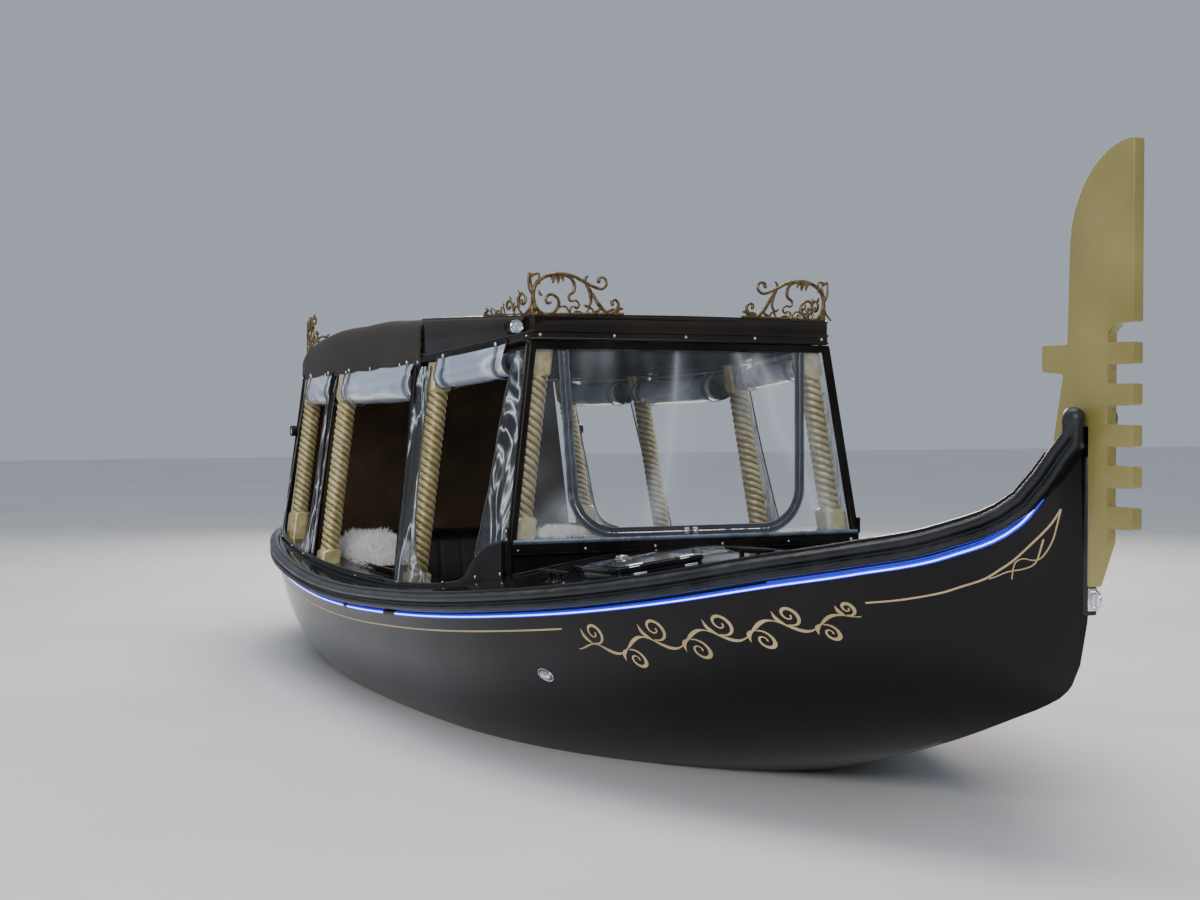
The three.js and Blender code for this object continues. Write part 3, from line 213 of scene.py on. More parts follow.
def tube(path, radius, sides=12, ring=False, flat=1.0, up=None):
    """A round or flattened bar; radius may vary along it."""
    path = np.asarray(path, float)
    _, normal, cross = frames_along(path, ring, up)
    radius = np.broadcast_to(np.asarray(radius, float), len(path))[:, None, None]
    angle = full_turn(sides)[None, :, None]
    around = normal[:, None] * np.cos(angle) * flat + cross[:, None] * np.sin(angle)
    return loft(path[:, None] + radius * around, ring)


def swept(path, profile, out, up):
    """A profile of [out, up] points carried along a path."""
    profile = np.asarray(profile, float)
    return loft(path[:, None] + out[:, None] * profile[None, :, :1] + up[:, None] * profile[None, :, 1:])


def lathe(profile, origin, axis, sides=24):
    """A turned body: profile rows are distance along the axis and radius."""
    axis = unit(axis)
    side = unit(np.cross(axis, (0, 0, 1) if abs(axis[2]) < 0.9 else (1, 0, 0)))
    other = np.cross(axis, side)
    angle = full_turn(sides)[:, None]
    ring = np.cos(angle) * side + np.sin(angle) * other
    return loft([np.asarray(origin) + axis * d + ring * max(r, 0.02) for d, r in profile])


def ball(centre, radius, sides=16, squash=1.0):
    profile = [(radius * squash * y, radius * x) for x, y in arc((0, 0), (1, 1), -90, 90, 9)]
    return lathe(profile, centre, (0, 0, 1), sides)


def rounded_loop(half_x, half_y, radius, steps=4):
    corners = [(1, 1, 0), (-1, 1, 90), (-1, -1, 180), (1, -1, 270)]
    points = []
    for sx, sy, turn in corners:
        middle = (sx * (half_x - radius), sy * (half_y - radius))
        points += arc(middle, (radius, radius), turn, turn + 90, steps)
    return np.array(points)


def slab(low, high, edge=2.0, corner=None):
    """A block with rounded edges and corners, standing along z."""
    low, high = np.asarray(low, float), np.asarray(high, float)
    middle, half = (low + high) / 2, (high - low) / 2
    corner = corner or edge * 1.5
    levels = [(low[2] + edge * (1 - math.cos(a)), edge * (1 - math.sin(a)))
              for a in np.radians((0, 30, 60, 90))]
    levels += [(high[2] - edge * (1 - math.sin(a)), edge * (1 - math.cos(a)))
               for a in np.radians((0, 30, 60, 90))]
    levels = sorted(levels)
    loops = []
    for z, inset in levels:
        flat = rounded_loop(half[0] - inset, half[1] - inset, max(corner - inset, 0.3))
        loops.append([(middle[0] + x, middle[1] + y, z) for x, y in flat])
    return loft(loops)


def turned(shape, origin, x_axis, y_axis, z_axis):
    """A shape drawn about the world's origin, set at another with its own axes."""
    points, faces = shape
    return np.asarray(origin) + points @ np.array([x_axis, y_axis, z_axis], float), faces


def linked(name, data):
    """A new object in the scene that shows the data."""
    piece = bpy.data.objects.new(name, data)
    bpy.context.scene.collection.objects.link(piece)
    return piece


def shaded(data, sharp):
    """Smooth shading with edges over so many degrees kept sharp."""
    data.shade_smooth()
    data.set_sharp_from_angle(angle=math.radians(sharp))


def made(name, *shapes, sharp=38):
    """One piece from shapes, doubles merged and faces turned outwards."""
    points, faces, base = [], [], 0
    for some_points, some_faces in shapes:
        points.append(some_points)
        faces += [tuple(base + i for i in face) for face in some_faces]
        base += len(some_points)
    data = bpy.data.meshes.new(name)
    data.from_pydata((np.concatenate(points) * MM).tolist(), [], faces)
    tidy_mesh(data)
    shaded(data, sharp)
    return linked(name, data)


def tidy_mesh(data):
    work = bmesh.new()
    work.from_mesh(data)
    bmesh.ops.remove_doubles(work, verts=work.verts, dist=1e-5)
    bmesh.ops.recalc_face_normals(work, faces=work.faces)
    work.to_mesh(data)
    work.free()


def evaluated(piece):
    """The piece as its modifiers show it."""
    return piece.evaluated_get(bpy.context.evaluated_depsgraph_get())


def apply_modifiers(piece):
    data = bpy.data.meshes.new_from_object(evaluated(piece))
    piece.modifiers.clear()
    piece.data = data


def carved(piece, *tools):
    for tool in tools:
        modifier = piece.modifiers.new("cut", "BOOLEAN")
        modifier.operation, modifier.object, modifier.solver = "DIFFERENCE", tool, "EXACT"
    apply_modifiers(piece)
    for tool in tools:
        bpy.data.objects.remove(tool)
    shaded(piece.data, 38)
    return piece


def edged(piece, width, angle=30, segments=3, sharp=50, merge=True):
    """The piece with its edges over the angle rounded, its flat faces merged first."""
    work = bmesh.new()
    work.from_mesh(piece.data)
    if merge:
        bmesh.ops.dissolve_limit(work, angle_limit=math.radians(1), verts=work.verts, edges=work.edges)
    steep = [edge for edge in work.edges if edge.is_manifold
             and edge.calc_face_angle(0) > math.radians(angle)]
    bmesh.ops.bevel(work, geom=steep, offset=width * MM, segments=segments, profile=0.5, affect="EDGES",
                    clamp_overlap=True)
    work.to_mesh(piece.data)
    work.free()
    shaded(piece.data, sharp)
    return piece


def twin_of(piece):
    twin = piece.copy()
    twin.data = piece.data.copy()
    bpy.context.scene.collection.objects.link(twin)
    return twin


def copy_of(node, name):
    """A merged copy of a CAD solid, to be finished as a piece of its own."""
    piece = twin_of(NODES[node])
    piece.name = name
    tidy_mesh(piece.data)
    return piece


def fitted(piece, finish, body="boat", replaces=()):
    """Gives a piece its material, hangs it on the body that carries it, and hides the nodes it stands for."""
    piece.data.materials.clear()
    piece.data.materials.append(FINISHES[finish].material)
    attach(piece, body)
    if replaces:
        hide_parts(*replaces)
    return piece


def built(name, finish, *shapes, sharp=38, body="boat", replaces=()):
    """A piece made from shapes and fitted."""
    return fitted(made(name, *shapes, sharp=sharp), finish, body, replaces)


# Camera, floor and light
def place_camera():
    yaw, pitch = math.radians(CAMERA["yaw"]), math.radians(CAMERA["pitch"])
    looking = Vector((-math.cos(yaw) * math.cos(pitch), math.sin(yaw) * math.cos(pitch), -math.sin(pitch)))
    data = bpy.data.cameras.new("view")
    data.sensor_width = SENSOR
    data.lens = CAMERA["focal_px"] / IMAGE_WIDE * SENSOR
    data.clip_end = 200
    camera = linked("view", data)
    camera.location = CAMERA["place"]
    camera.rotation_euler = looking.to_track_quat("-Z", "Y").to_euler()
    bpy.context.scene.camera = camera


def soft_light(name, place, target, size, watts, colour=(1, 1, 1)):
    data = bpy.data.lights.new(name, "AREA")
    data.shape = "RECTANGLE"
    data.size, data.size_y = size
    data.energy = watts
    data.color = colour
    lamp = linked(name, data)
    lamp.location = place
    lamp.rotation_euler = (Vector(target) - Vector(place)).to_track_quat("-Z", "Y").to_euler()


def studio():
    world = bpy.data.worlds.new("studio")
    bpy.context.scene.world = world
    world.use_nodes = True
    sky = world.node_tree.nodes["Background"].inputs
    sky["Color"].default_value = (0.74, 0.82, 0.95, 1)
    sky["Strength"].default_value = 0.5
    soft_light("overhead", (0.5, -0.5, 6.5), (0, 0, 0.6), (7, 3), 330)
    soft_light("key", (7.0, -5.0, 3.6), (0.6, 0, 0.6), (4, 2.4), 330, (1.0, 0.95, 0.88))
    soft_light("rim", (-6.5, 3.5, 3.6), (0, 0, 0.8), (4, 2.4), 420, (1.0, 0.86, 0.70))
    bpy.ops.mesh.primitive_plane_add(size=60)
    floor = bpy.context.object
    floor.name = "floor"
    floor.data.materials.append(FINISHES["floor"].material)


# Shader groups: effects that several finishes share
def effect(name, inputs, outputs):
    tree = bpy.data.node_groups.new(name, "ShaderNodeTree")
    for socket, default in inputs.items():
        vector = isinstance(default, tuple)
        made_socket = tree.interface.new_socket(socket, in_out="INPUT",
                socket_type="NodeSocketVector" if vector else "NodeSocketFloat")
        made_socket.default_value = default
    for socket in outputs:
        tree.interface.new_socket(socket, in_out="OUTPUT", socket_type="NodeSocketFloat")
    tree.nodes.new("NodeGroupInput")
    tree.nodes.new("NodeGroupOutput")
    return tree


class Wiring:
    """Short calls to place and join the nodes of a tree."""

    def __init__(self, tree):
        self.tree = tree

    def node(self, kind, inputs=None, **settings):
        placed = self.tree.nodes.new(kind)
        for key, value in settings.items():
            setattr(placed, key, value)
        for key, value in (inputs or {}).items():
            if isinstance(value, bpy.types.NodeSocket):
                self.tree.links.new(value, placed.inputs[key])
            else:
                placed.inputs[key].default_value = value
        return placed

    def given(self, name):
        return self.tree.nodes["Group Input"].outputs[name]

    def give(self, name, value):
        self.tree.links.new(value, self.tree.nodes["Group Output"].inputs[name])

    def sum(self, operation, first, second=0.0, third=0.0):
        return self.node("ShaderNodeMath", {0: first, 1: second, 2: third}, operation=operation).outputs[0]

    def spread(self, value, low, high, to_low=0.0, to_high=1.0):
        return self.node("ShaderNodeMapRange", {"Value": value, "From Min": low, "From Max": high,
                "To Min": to_low, "To Max": to_high}).outputs["Result"]

    def noise(self, vector, scale, **inputs):
        inputs.update(Vector=vector, Scale=scale)
        return self.node("ShaderNodeTexNoise", inputs).outputs["Fac"]

    def vector(self, x, y=0.0, z=0.0):
        return self.node("ShaderNodeCombineXYZ", {0: x, 1: y, 2: z}).outputs[0]

    def height_of(self, vector):
        return self.node("ShaderNodeSeparateXYZ", {0: vector}).outputs["Z"]

    def place(self, stretch=(1, 1, 1), turn=(0, 0, 0)):
        where = self.node("ShaderNodeTexCoord").outputs["Object"]
        return self.node("ShaderNodeMapping", {"Vector": where, "Scale": stretch,
                "Rotation": turn}).outputs["Vector"]


def drift_effect():
    """Slow or fine uneven patches: a mask between two levels of noise."""
    w = Wiring(effect("drift", {"Scale": 4.0, "Detail": 4.0, "Low": 0.4, "High": 0.6,
            "Stretch": (1.0, 1.0, 1.0)}, ("Mask", "Height")))
    noise = w.noise(w.place(w.given("Stretch")), w.given("Scale"), Detail=w.given("Detail"))
    w.give("Height", noise)
    w.give("Mask", w.spread(noise, w.given("Low"), w.given("High")))
    return w.tree


def weave_effect():
    """Over and under threads: a height and a mask of the crossings."""
    w = Wiring(effect("weave", {"Threads": 900.0}, ("Height", "Mask")))
    waves = []
    for turn in ((0, 0, 0), (0.6, 0, math.pi / 2)):
        waves.append(w.node("ShaderNodeTexWave",
                            {"Vector": w.place(turn=turn), "Scale": w.given("Threads"), "Distortion": 0.6,
                             "Detail": 1.0}).outputs["Fac"])
    height = w.sum("MAXIMUM", *waves)
    w.give("Height", height)
    w.give("Mask", w.sum("MULTIPLY", *waves))
    return w.tree


def dust_effect():
    """Settled dust and dried spray on faces that look up."""
    w = Wiring(effect("dust", {"Amount": 0.5, "Scale": 18.0}, ("Mask",)))
    up = w.height_of(w.node("ShaderNodeNewGeometry").outputs["Normal"])
    specks = w.noise(w.place(), w.given("Scale"), Detail=8.0, Roughness=0.7)
    settled = w.sum("MULTIPLY", w.spread(up, 0.2, 1.0), w.spread(specks, 0.45, 0.75))
    w.give("Mask", w.sum("MULTIPLY", settled, w.given("Amount")))
    return w.tree


def crease_effect():
    """Soft folds in clear sheet and a mask along its creases, where the sheet's finish paints highlights."""
    w = Wiring(effect("crease_and_highlight", {"Scale": 4.0, "Stretch": (1.0, 1.0, 0.5), "Sharp": 5.0}, ("Mask", "Height")))
    noise = w.noise(w.place(w.given("Stretch")), w.given("Scale"), Detail=2.5, Distortion=1.6)
    ridge = w.sum("SUBTRACT", 1.0, w.sum("MULTIPLY", w.sum("ABSOLUTE", w.sum("SUBTRACT", noise, 0.5)), 6.0))
    w.give("Height", noise)
    w.give("Mask", w.sum("POWER", w.sum("MAXIMUM", ridge, 0.0), w.given("Sharp")))
    return w.tree


def scratch_effect():
    """Fine scuffs in two directions."""
    w = Wiring(effect("scratch", {"Scale": 9.0, "Amount": 1.0}, ("Mask",)))
    lines = []
    for stretch, turn in (((1, 40, 40), (0, 0, 0.2)), ((1, 55, 55), (0.1, 0.5, -0.3))):
        lines.append(w.spread(w.noise(w.place(stretch, turn), w.given("Scale"), Detail=2.0), 0.66, 0.74))
    w.give("Mask", w.sum("MULTIPLY", w.sum("MAXIMUM", *lines), w.given("Amount")))
    return w.tree


DRIFT, WEAVE, DUST = drift_effect(), weave_effect(), dust_effect()
CREASE, SCRATCH = crease_effect(), scratch_effect()
FINISHES = {}


class Finish(Wiring):
    """A named material on a record slot, with its Principled shader."""

    def __init__(self, name, slot, **constants):
        self.material = bpy.data.materials.new(name)
        self.material.use_nodes = True
        super().__init__(self.material.node_tree)
        self.slot = slot
        self.shader = self.tree.nodes["Principled BSDF"]
        for socket, value in constants.items():
            self.shader.inputs[socket.replace("_", " ")].default_value = value
        FINISHES[name] = self

    def use(self, group, **values):
        placed = self.node("ShaderNodeGroup", node_tree=group)
        for key, value in values.items():
            placed.inputs[key].default_value = value
        return placed.outputs

    def feed(self, socket, value):
        self.tree.links.new(value, self.shader.inputs[socket])

    def blend(self, mask, first, second):
        """A colour between two, by a mask; either may be a socket."""
        mix = self.node("ShaderNodeMix", {0: mask}, data_type="RGBA")
        for key, colour in ((6, first), (7, second)):
            if isinstance(colour, bpy.types.NodeSocket):
                self.tree.links.new(colour, mix.inputs[key])
            else:
                mix.inputs[key].default_value = (*colour, 1)
        return mix.outputs[2]

    def bump(self, height, strength, distance, under=None):
        node = self.node("ShaderNodeBump", {"Height": height, "Strength": strength, "Distance": distance})
        if under:
            self.tree.links.new(under, node.inputs["Normal"])
        return node.outputs["Normal"]


def gelcoat_finish(name, deep, haze, scuffs):
    f = Finish(name, "gelcoat", IOR=1.35, Specular_IOR_Level=0.3, Coat_Weight=0.12, Coat_Roughness=0.03)
    patch = f.use(DRIFT, Scale=2.2, Detail=3.0, Low=0.35, High=0.7)
    dust = f.use(DUST, Amount=0.1, Scale=12.0)["Mask"]
    scuff = f.use(SCRATCH, Scale=7.0, Amount=scuffs)["Mask"]
    f.feed("Base Color", f.blend(dust, f.blend(patch["Mask"], deep, haze), (0.16, 0.15, 0.14)))
    rough = f.sum("ADD", f.spread(patch["Height"], 0.3, 0.7, 0.05, 0.12), f.sum("MULTIPLY", scuff, 0.25))
    f.feed("Roughness", f.sum("ADD", rough, f.sum("MULTIPLY", dust, 0.3)))
    ripple = f.use(DRIFT, Scale=3.0, Detail=1.0)["Height"]
    peel = f.use(DRIFT, Scale=160.0, Detail=1.0)["Height"]
    f.feed("Normal", f.bump(peel, 0.03, 0.001, f.bump(ripple, 0.25, 0.01)))


def plain_finish(name, slot, dark, light, rough, patch=6.0, fine=220.0, bump=0.1, depth=0.001, dust=0.3,
                 **constants):
    """Paint, rubber or moulding: uneven colour and gloss, fine grain and settled dust."""
    f = Finish(name, slot, **constants)
    uneven = f.use(DRIFT, Scale=patch, Detail=5.0, Low=0.35, High=0.68)
    dusty = f.use(DUST, Amount=dust, Scale=24.0)["Mask"]
    f.feed("Base Color", f.blend(dusty, f.blend(uneven["Mask"], dark, light), (0.30, 0.29, 0.27)))
    f.feed("Roughness", f.sum("ADD", f.spread(uneven["Height"], 0.3, 0.7, rough[0], rough[1]),
            f.sum("MULTIPLY", dusty, 0.25)))
    f.feed("Normal", f.bump(f.use(DRIFT, Scale=fine, Detail=2.0)["Height"], bump, depth))


def cloth_finish(name, slot, dark, light, threads, rough=0.85, sheen=0.25):
    f = Finish(name, slot, Roughness=rough, Sheen_Weight=sheen, Sheen_Roughness=0.5)
    weave = f.use(WEAVE, Threads=threads)
    faded = f.use(DRIFT, Scale=3.5, Detail=6.0, Low=0.35, High=0.7)
    dusty = f.use(DUST, Amount=0.25, Scale=12.0)["Mask"]
    thread = f.blend(weave["Mask"], dark, light)
    f.feed("Base Color", f.blend(dusty, f.blend(faded["Mask"], thread, light), (0.20, 0.18, 0.16)))
    rumple = f.use(DRIFT, Scale=14.0, Detail=3.0)["Height"]
    f.feed("Normal", f.bump(weave["Height"], 0.5, 0.0006, f.bump(rumple, 0.35, 0.004)))


def vinyl_finish(name, thin, thick, folds, base, stretch, sharp):
    """Clear sheet: thin and hazy, milky along its creases, with painted highlights along them in place of
    reflections.
    """
    f = Finish(name, "clear_vinyl", Specular_IOR_Level=0.8, Coat_Weight=0.5, Coat_Roughness=0.05)
    crease_and_highlight = f.use(CREASE, Scale=folds, Stretch=stretch, Sharp=sharp)
    haze = f.use(DRIFT, Scale=3.0, Detail=5.0, Low=0.4, High=0.75)["Mask"]
    # Painted highlight: the colour goes to near white along the creases, in place of reflections on the
    # crumpled sheet.
    f.feed("Base Color", f.blend(crease_and_highlight["Mask"], base, (0.85, 0.92, 1.0)))
    f.feed("Roughness", f.spread(haze, 0.0, 1.0, 0.06, 0.22))
    f.feed("Alpha", f.sum("ADD", f.spread(crease_and_highlight["Mask"], 0.0, 1.0, thin, thick),
                          f.sum("MULTIPLY", haze, thin)))
    f.feed("Normal", f.bump(crease_and_highlight["Height"], 0.7, 0.02))


def finishes():
    gelcoat_finish("hull_black", (0.0035, 0.0035, 0.0045), (0.008, 0.006, 0.007), 0.5)
    gelcoat_finish("deck_black", (0.006, 0.006, 0.008), (0.014, 0.013, 0.014), 0.8)
    gelcoat_finish("roof_black", (0.012, 0.009, 0.008), (0.030, 0.021, 0.016), 0.6)
    plain_finish("rail_rubber", "rubber", (0.007, 0.008, 0.010), (0.020, 0.022, 0.027), (0.26, 0.42),
                 patch=9.0, dust=0.25, Specular_IOR_Level=0.35)
    plain_finish("prow_gold", "gold_paint", (0.25, 0.21, 0.062), (0.34, 0.29, 0.10), (0.28, 0.42),
                 patch=3.0, fine=120.0, bump=0.05, Metallic=0.25, Coat_Weight=0.3)
    plain_finish("stripe_gold", "gold_paint", (0.42, 0.32, 0.15), (0.58, 0.46, 0.25), (0.3, 0.45),
                 Metallic=0.3)
    plain_finish("trim_black", "black_paint", (0.006, 0.005, 0.005), (0.016, 0.013, 0.012), (0.14, 0.28),
                 dust=0.2, IOR=1.25, Specular_IOR_Level=0.3)
    plain_finish("liner_black", "black_paint", (0.045, 0.028, 0.014), (0.085, 0.054, 0.027), (0.5, 0.7),
                 fine=90.0, bump=0.4, Specular_IOR_Level=0.25)
    plain_finish("drive_grey", "black_paint", (0.03, 0.03, 0.032), (0.06, 0.06, 0.065), (0.4, 0.6))
    plain_finish("sill_strip", "black_paint", (0.10, 0.13, 0.18), (0.20, 0.25, 0.32), (0.22, 0.35),
                 patch=12.0, Metallic=0.4)
    plain_finish("bright_chrome", "chrome", (0.70, 0.71, 0.73), (0.86, 0.87, 0.88), (0.06, 0.16), fine=60.0,
                 bump=0.03, dust=0.15, Metallic=1.0)
    plain_finish("cast_bronze", "bronze", (0.20, 0.12, 0.045), (0.46, 0.31, 0.12), (0.3, 0.55), patch=14.0,
                 fine=150.0, bump=0.25, Metallic=0.9)
    plain_finish("lamp_lens", "chrome", (0.55, 0.60, 0.68), (0.80, 0.84, 0.90), (0.05, 0.12), fine=40.0,
                 bump=0.3, depth=0.002, Metallic=0.7, Coat_Weight=1.0)
    plain_finish("varnished_wood", "wheel_wood", (0.055, 0.020, 0.008), (0.15, 0.062, 0.024), (0.15, 0.3),
                 patch=9.0, Coat_Weight=0.8)
    plain_finish("floor", None, (0.74, 0.74, 0.73), (0.80, 0.80, 0.79), (0.5, 0.62), patch=0.6, fine=30.0,
                 dust=0.0)
    # Black canvas: the brown tint of its colours is painted light, the glow of light shining through it from
    # behind.
    cloth_finish("roof_canvas", "canvas", (0.006, 0.004, 0.003), (0.022, 0.014, 0.009), 1100.0, sheen=0.04)
    cloth_finish("zip_webbing", "binding", (0.05, 0.065, 0.09), (0.15, 0.19, 0.25), 1500.0, rough=0.6,
                 sheen=0.15)
    cloth_finish("window_webbing", "binding", (0.016, 0.021, 0.030), (0.06, 0.074, 0.098), 1500.0,
                 rough=0.5, sheen=0.1)
    cloth_finish("black_webbing", "canvas", (0.008, 0.008, 0.009), (0.03, 0.028, 0.028), 1500.0, rough=0.55)
    cloth_finish("fur_backing", "fur", (0.55, 0.54, 0.52), (0.72, 0.71, 0.69), 500.0)
    # Painted light in the clear sheets: the side sheets' dark colour paints the shade inside the cabin seen
    # through them, and the rolled sheets' pale blue is partly the milkiness of their layers and partly a
    # painted reflection of the sky.
    vinyl_finish("window_vinyl", 0.025, 0.2, 1.3, (0.40, 0.45, 0.52), (1.0, 1.0, 0.45), 3.0)
    vinyl_finish("side_vinyl", 0.16, 0.95, 7.0, (0.05, 0.06, 0.075), (1.0, 1.0, 0.4), 7.0)
    vinyl_finish("rolled_vinyl", 0.82, 1.0, 3.0, (0.40, 0.48, 0.60), (0.35, 1.4, 1.4), 4.0)
    rope_finish()
    brass_finish()
    leather_finish("burgundy_leather", "burgundy", (0.10, 0.006, 0.010), (0.20, 0.016, 0.024))
    leather_finish("black_leather", "black_leather", (0.010, 0.008, 0.008), (0.028, 0.022, 0.020))
    fur_finish()
    # The last of these is no lamp: a dim glowing line that paints the strip's blue reflection on the rail's
    # underside.
    for name, colour, strength in (("strip_glow", (0.001, 0.002, 1.0), 0.8),
            ("strip_core", (0.20, 0.25, 1.0), 9.0), ("strip_edge", (0.002, 0.004, 1.0), 0.5)):
        f = Finish(name, "lit_strip", Base_Color=(0.05, 0.07, 0.6, 1), Roughness=0.3,
                   Emission_Strength=strength)
        uneven = f.use(DRIFT, Scale=60.0, Detail=2.0, Low=0.3, High=0.7)["Mask"]
        f.feed("Emission Color", f.blend(uneven, colour, tuple(c * 0.8 for c in colour)))


def rope_finish():
    """Gold paint over moulded rope: pale on the strands, dark in the grooves, partly with dirt and partly
    with painted shade.
    """
    f = Finish("rope_gold", "rope_gold", Metallic=0.3, Coat_Weight=0.25, Coat_Roughness=0.2)
    groove = f.node("ShaderNodeAttribute", attribute_name="groove").outputs["Fac"]
    uneven = f.use(DRIFT, Scale=30.0, Detail=5.0, Low=0.35, High=0.7)
    gold = f.blend(uneven["Mask"], (0.44, 0.36, 0.15), (0.68, 0.60, 0.34))
    # Painted shade: the colour goes nearly black with each groove's depth, where shade falls between the
    # strands.
    f.feed("Base Color", f.blend(f.sum("POWER", groove, 1.2), gold, (0.040, 0.028, 0.009)))
    f.feed("Roughness", f.spread(uneven["Height"], 0.3, 0.7, 0.26, 0.42))
    f.feed("Normal", f.bump(f.use(DRIFT, Scale=140.0, Detail=3.0)["Height"], 0.18, 0.001))


def brass_finish():
    """Old brass: brown in the hollows, worn bright in patches."""
    f = Finish("old_brass", "antique_brass", Metallic=0.75)
    patina = f.use(DRIFT, Scale=55.0, Detail=6.0, Low=0.38, High=0.62)
    broad = f.use(DRIFT, Scale=9.0, Detail=3.0, Low=0.35, High=0.65)["Mask"]
    worn = f.blend(patina["Mask"], (0.055, 0.034, 0.015), (0.33, 0.24, 0.11))
    f.feed("Base Color", f.blend(broad, worn, (0.15, 0.105, 0.048)))
    f.feed("Roughness", f.spread(patina["Height"], 0.3, 0.7, 0.55, 0.28))
    f.feed("Normal", f.bump(patina["Height"], 0.5, 0.002))


def leather_finish(name, slot, dark, light):
    f = Finish(name, slot, Specular_IOR_Level=0.45)
    cells = f.node("ShaderNodeTexVoronoi", {"Vector": f.place(), "Scale": 420.0},
                   feature="DISTANCE_TO_EDGE").outputs[0]
    worn = f.use(DRIFT, Scale=5.0, Detail=5.0, Low=0.35, High=0.7)
    f.feed("Base Color", f.blend(worn["Mask"], dark, light))
    f.feed("Roughness", f.spread(worn["Height"], 0.3, 0.7, 0.36, 0.55))
    f.feed("Normal", f.bump(f.spread(cells, 0.0, 0.12), 0.35, 0.0012))


def fur_finish():
    f = Finish("white_fur", "fur", Roughness=0.75, Sheen_Weight=0.6, Sheen_Roughness=0.4)
    tuft = f.use(DRIFT, Scale=40.0, Detail=4.0, Low=0.35, High=0.7)["Mask"]
    f.feed("Base Color", f.blend(tuft, (0.84, 0.84, 0.84), (0.96, 0.97, 0.98)))
    f.feed("Normal", f.bump(f.use(DRIFT, Scale=300.0, Detail=2.0)["Height"], 0.2, 0.001))


# Geometry Nodes: what repeats or follows a rule
class Recipe(Wiring):
    """A tree with named inputs, run on a base piece to give a plain one."""

    def __init__(self, name, **inputs):
        super().__init__(bpy.data.node_groups.new(name, "GeometryNodeTree"))
        face = self.tree.interface
        face.new_socket("Geometry", in_out="INPUT", socket_type="NodeSocketGeometry")
        face.new_socket("Material", in_out="INPUT", socket_type="NodeSocketMaterial")
        face.new_socket("Geometry", in_out="OUTPUT", socket_type="NodeSocketGeometry")
        for socket, default in inputs.items():
            whole = isinstance(default, int)
            made_socket = face.new_socket(socket, in_out="INPUT",
                    socket_type="NodeSocketInt" if whole else "NodeSocketFloat")
            made_socket.default_value = default
        self.tree.nodes.new("NodeGroupInput")
        self.tree.nodes.new("NodeGroupOutput")

    def facing(self):
        """The vector that the base's points carry."""
        return self.node("GeometryNodeInputNamedAttribute", {"Name": "facing"},
                         data_type="FLOAT_VECTOR").outputs["Attribute"]

    def scaled(self, geometry, size):
        return self.node("GeometryNodeTransform", {"Geometry": geometry, "Scale": size}).outputs["Geometry"]

    def set_out(self, points, instance, aim, **more):
        """The instance at each point, its z turned to aim."""
        turn = self.node("FunctionNodeAlignRotationToVector", {"Vector": aim}, axis="Z").outputs["Rotation"]
        more.update(Points=points, Instance=instance, Rotation=turn)
        return self.node("GeometryNodeInstanceOnPoints", more).outputs["Instances"]

    def finish(self, geometry):
        real = self.node("GeometryNodeRealizeInstances", {"Geometry": geometry}).outputs["Geometry"]
        coated = self.node("GeometryNodeSetMaterial", {"Geometry": real, "Material": self.given("Material")})
        self.give("Geometry", coated.outputs["Geometry"])
        return self

    def run(self, name, base, finish, **values):
        """Runs the tree on the base piece, which the result takes the place of."""
        modifier = base.modifiers.new(self.tree.name, "NODES")
        modifier.node_group = self.tree
        values["Material"] = FINISHES[finish].material
        for item in self.tree.interface.items_tree:
            if item.in_out == "INPUT" and item.name in values:
                modifier[item.identifier] = values[item.name]
        data = bpy.data.meshes.new_from_object(evaluated(base))
        bpy.data.objects.remove(base)
        shaded(data, 45)
        return linked(name, data)


def stud_recipe():
    """A domed stud on a washer at each point, facing along its `facing` vector."""
    w = Recipe("studs", Radius=0.006, Height=0.004)
    dome = w.node("GeometryNodeMeshUVSphere",
                  {"Segments": 14, "Rings": 8, "Radius": w.given("Radius")}).outputs["Mesh"]
    dome = w.scaled(dome, w.vector(0.72, 0.72, w.sum("DIVIDE", w.given("Height"), w.given("Radius"))))
    washer = w.node("GeometryNodeMeshCylinder",
                    {"Vertices": 16, "Radius": w.given("Radius"),
                     "Depth": w.sum("MULTIPLY", w.given("Height"), 0.5)}).outputs["Mesh"]
    stud = w.node("GeometryNodeJoinGeometry", {}).inputs[0]
    for part in (dome, washer):
        w.tree.links.new(part, stud)
    return w.finish(w.set_out(w.given("Geometry"), stud.node.outputs[0], w.facing()))


def stitch_recipe():
    """Short rounded bars along a path: stitches, or a zip's teeth when they lie across it."""
    w = Recipe("stitches", Pitch=0.005, Length=0.0035, Thickness=0.0009, Across=0.0)
    curve = w.node("GeometryNodeMeshToCurve", {"Mesh": w.given("Geometry")}).outputs["Curve"]
    curve = w.node("GeometryNodeResampleCurve", {"Curve": curve, "Length": w.given("Pitch")},
                   mode="LENGTH").outputs["Curve"]
    bar = w.node("GeometryNodeMeshUVSphere", {"Segments": 6, "Rings": 4, "Radius": 0.5}).outputs["Mesh"]
    bar = w.scaled(bar, w.vector(w.given("Thickness"), w.given("Thickness"), w.given("Length")))
    tangent = w.node("GeometryNodeInputTangent").outputs["Tangent"]
    sideways = w.node("ShaderNodeVectorMath", {0: tangent, 1: w.facing()},
                      operation="CROSS_PRODUCT").outputs["Vector"]
    lie = w.node("ShaderNodeMix", {0: w.given("Across"), 4: tangent, 5: sideways},
                 data_type="VECTOR").outputs[1]
    return w.finish(w.set_out(curve, bar, lie))


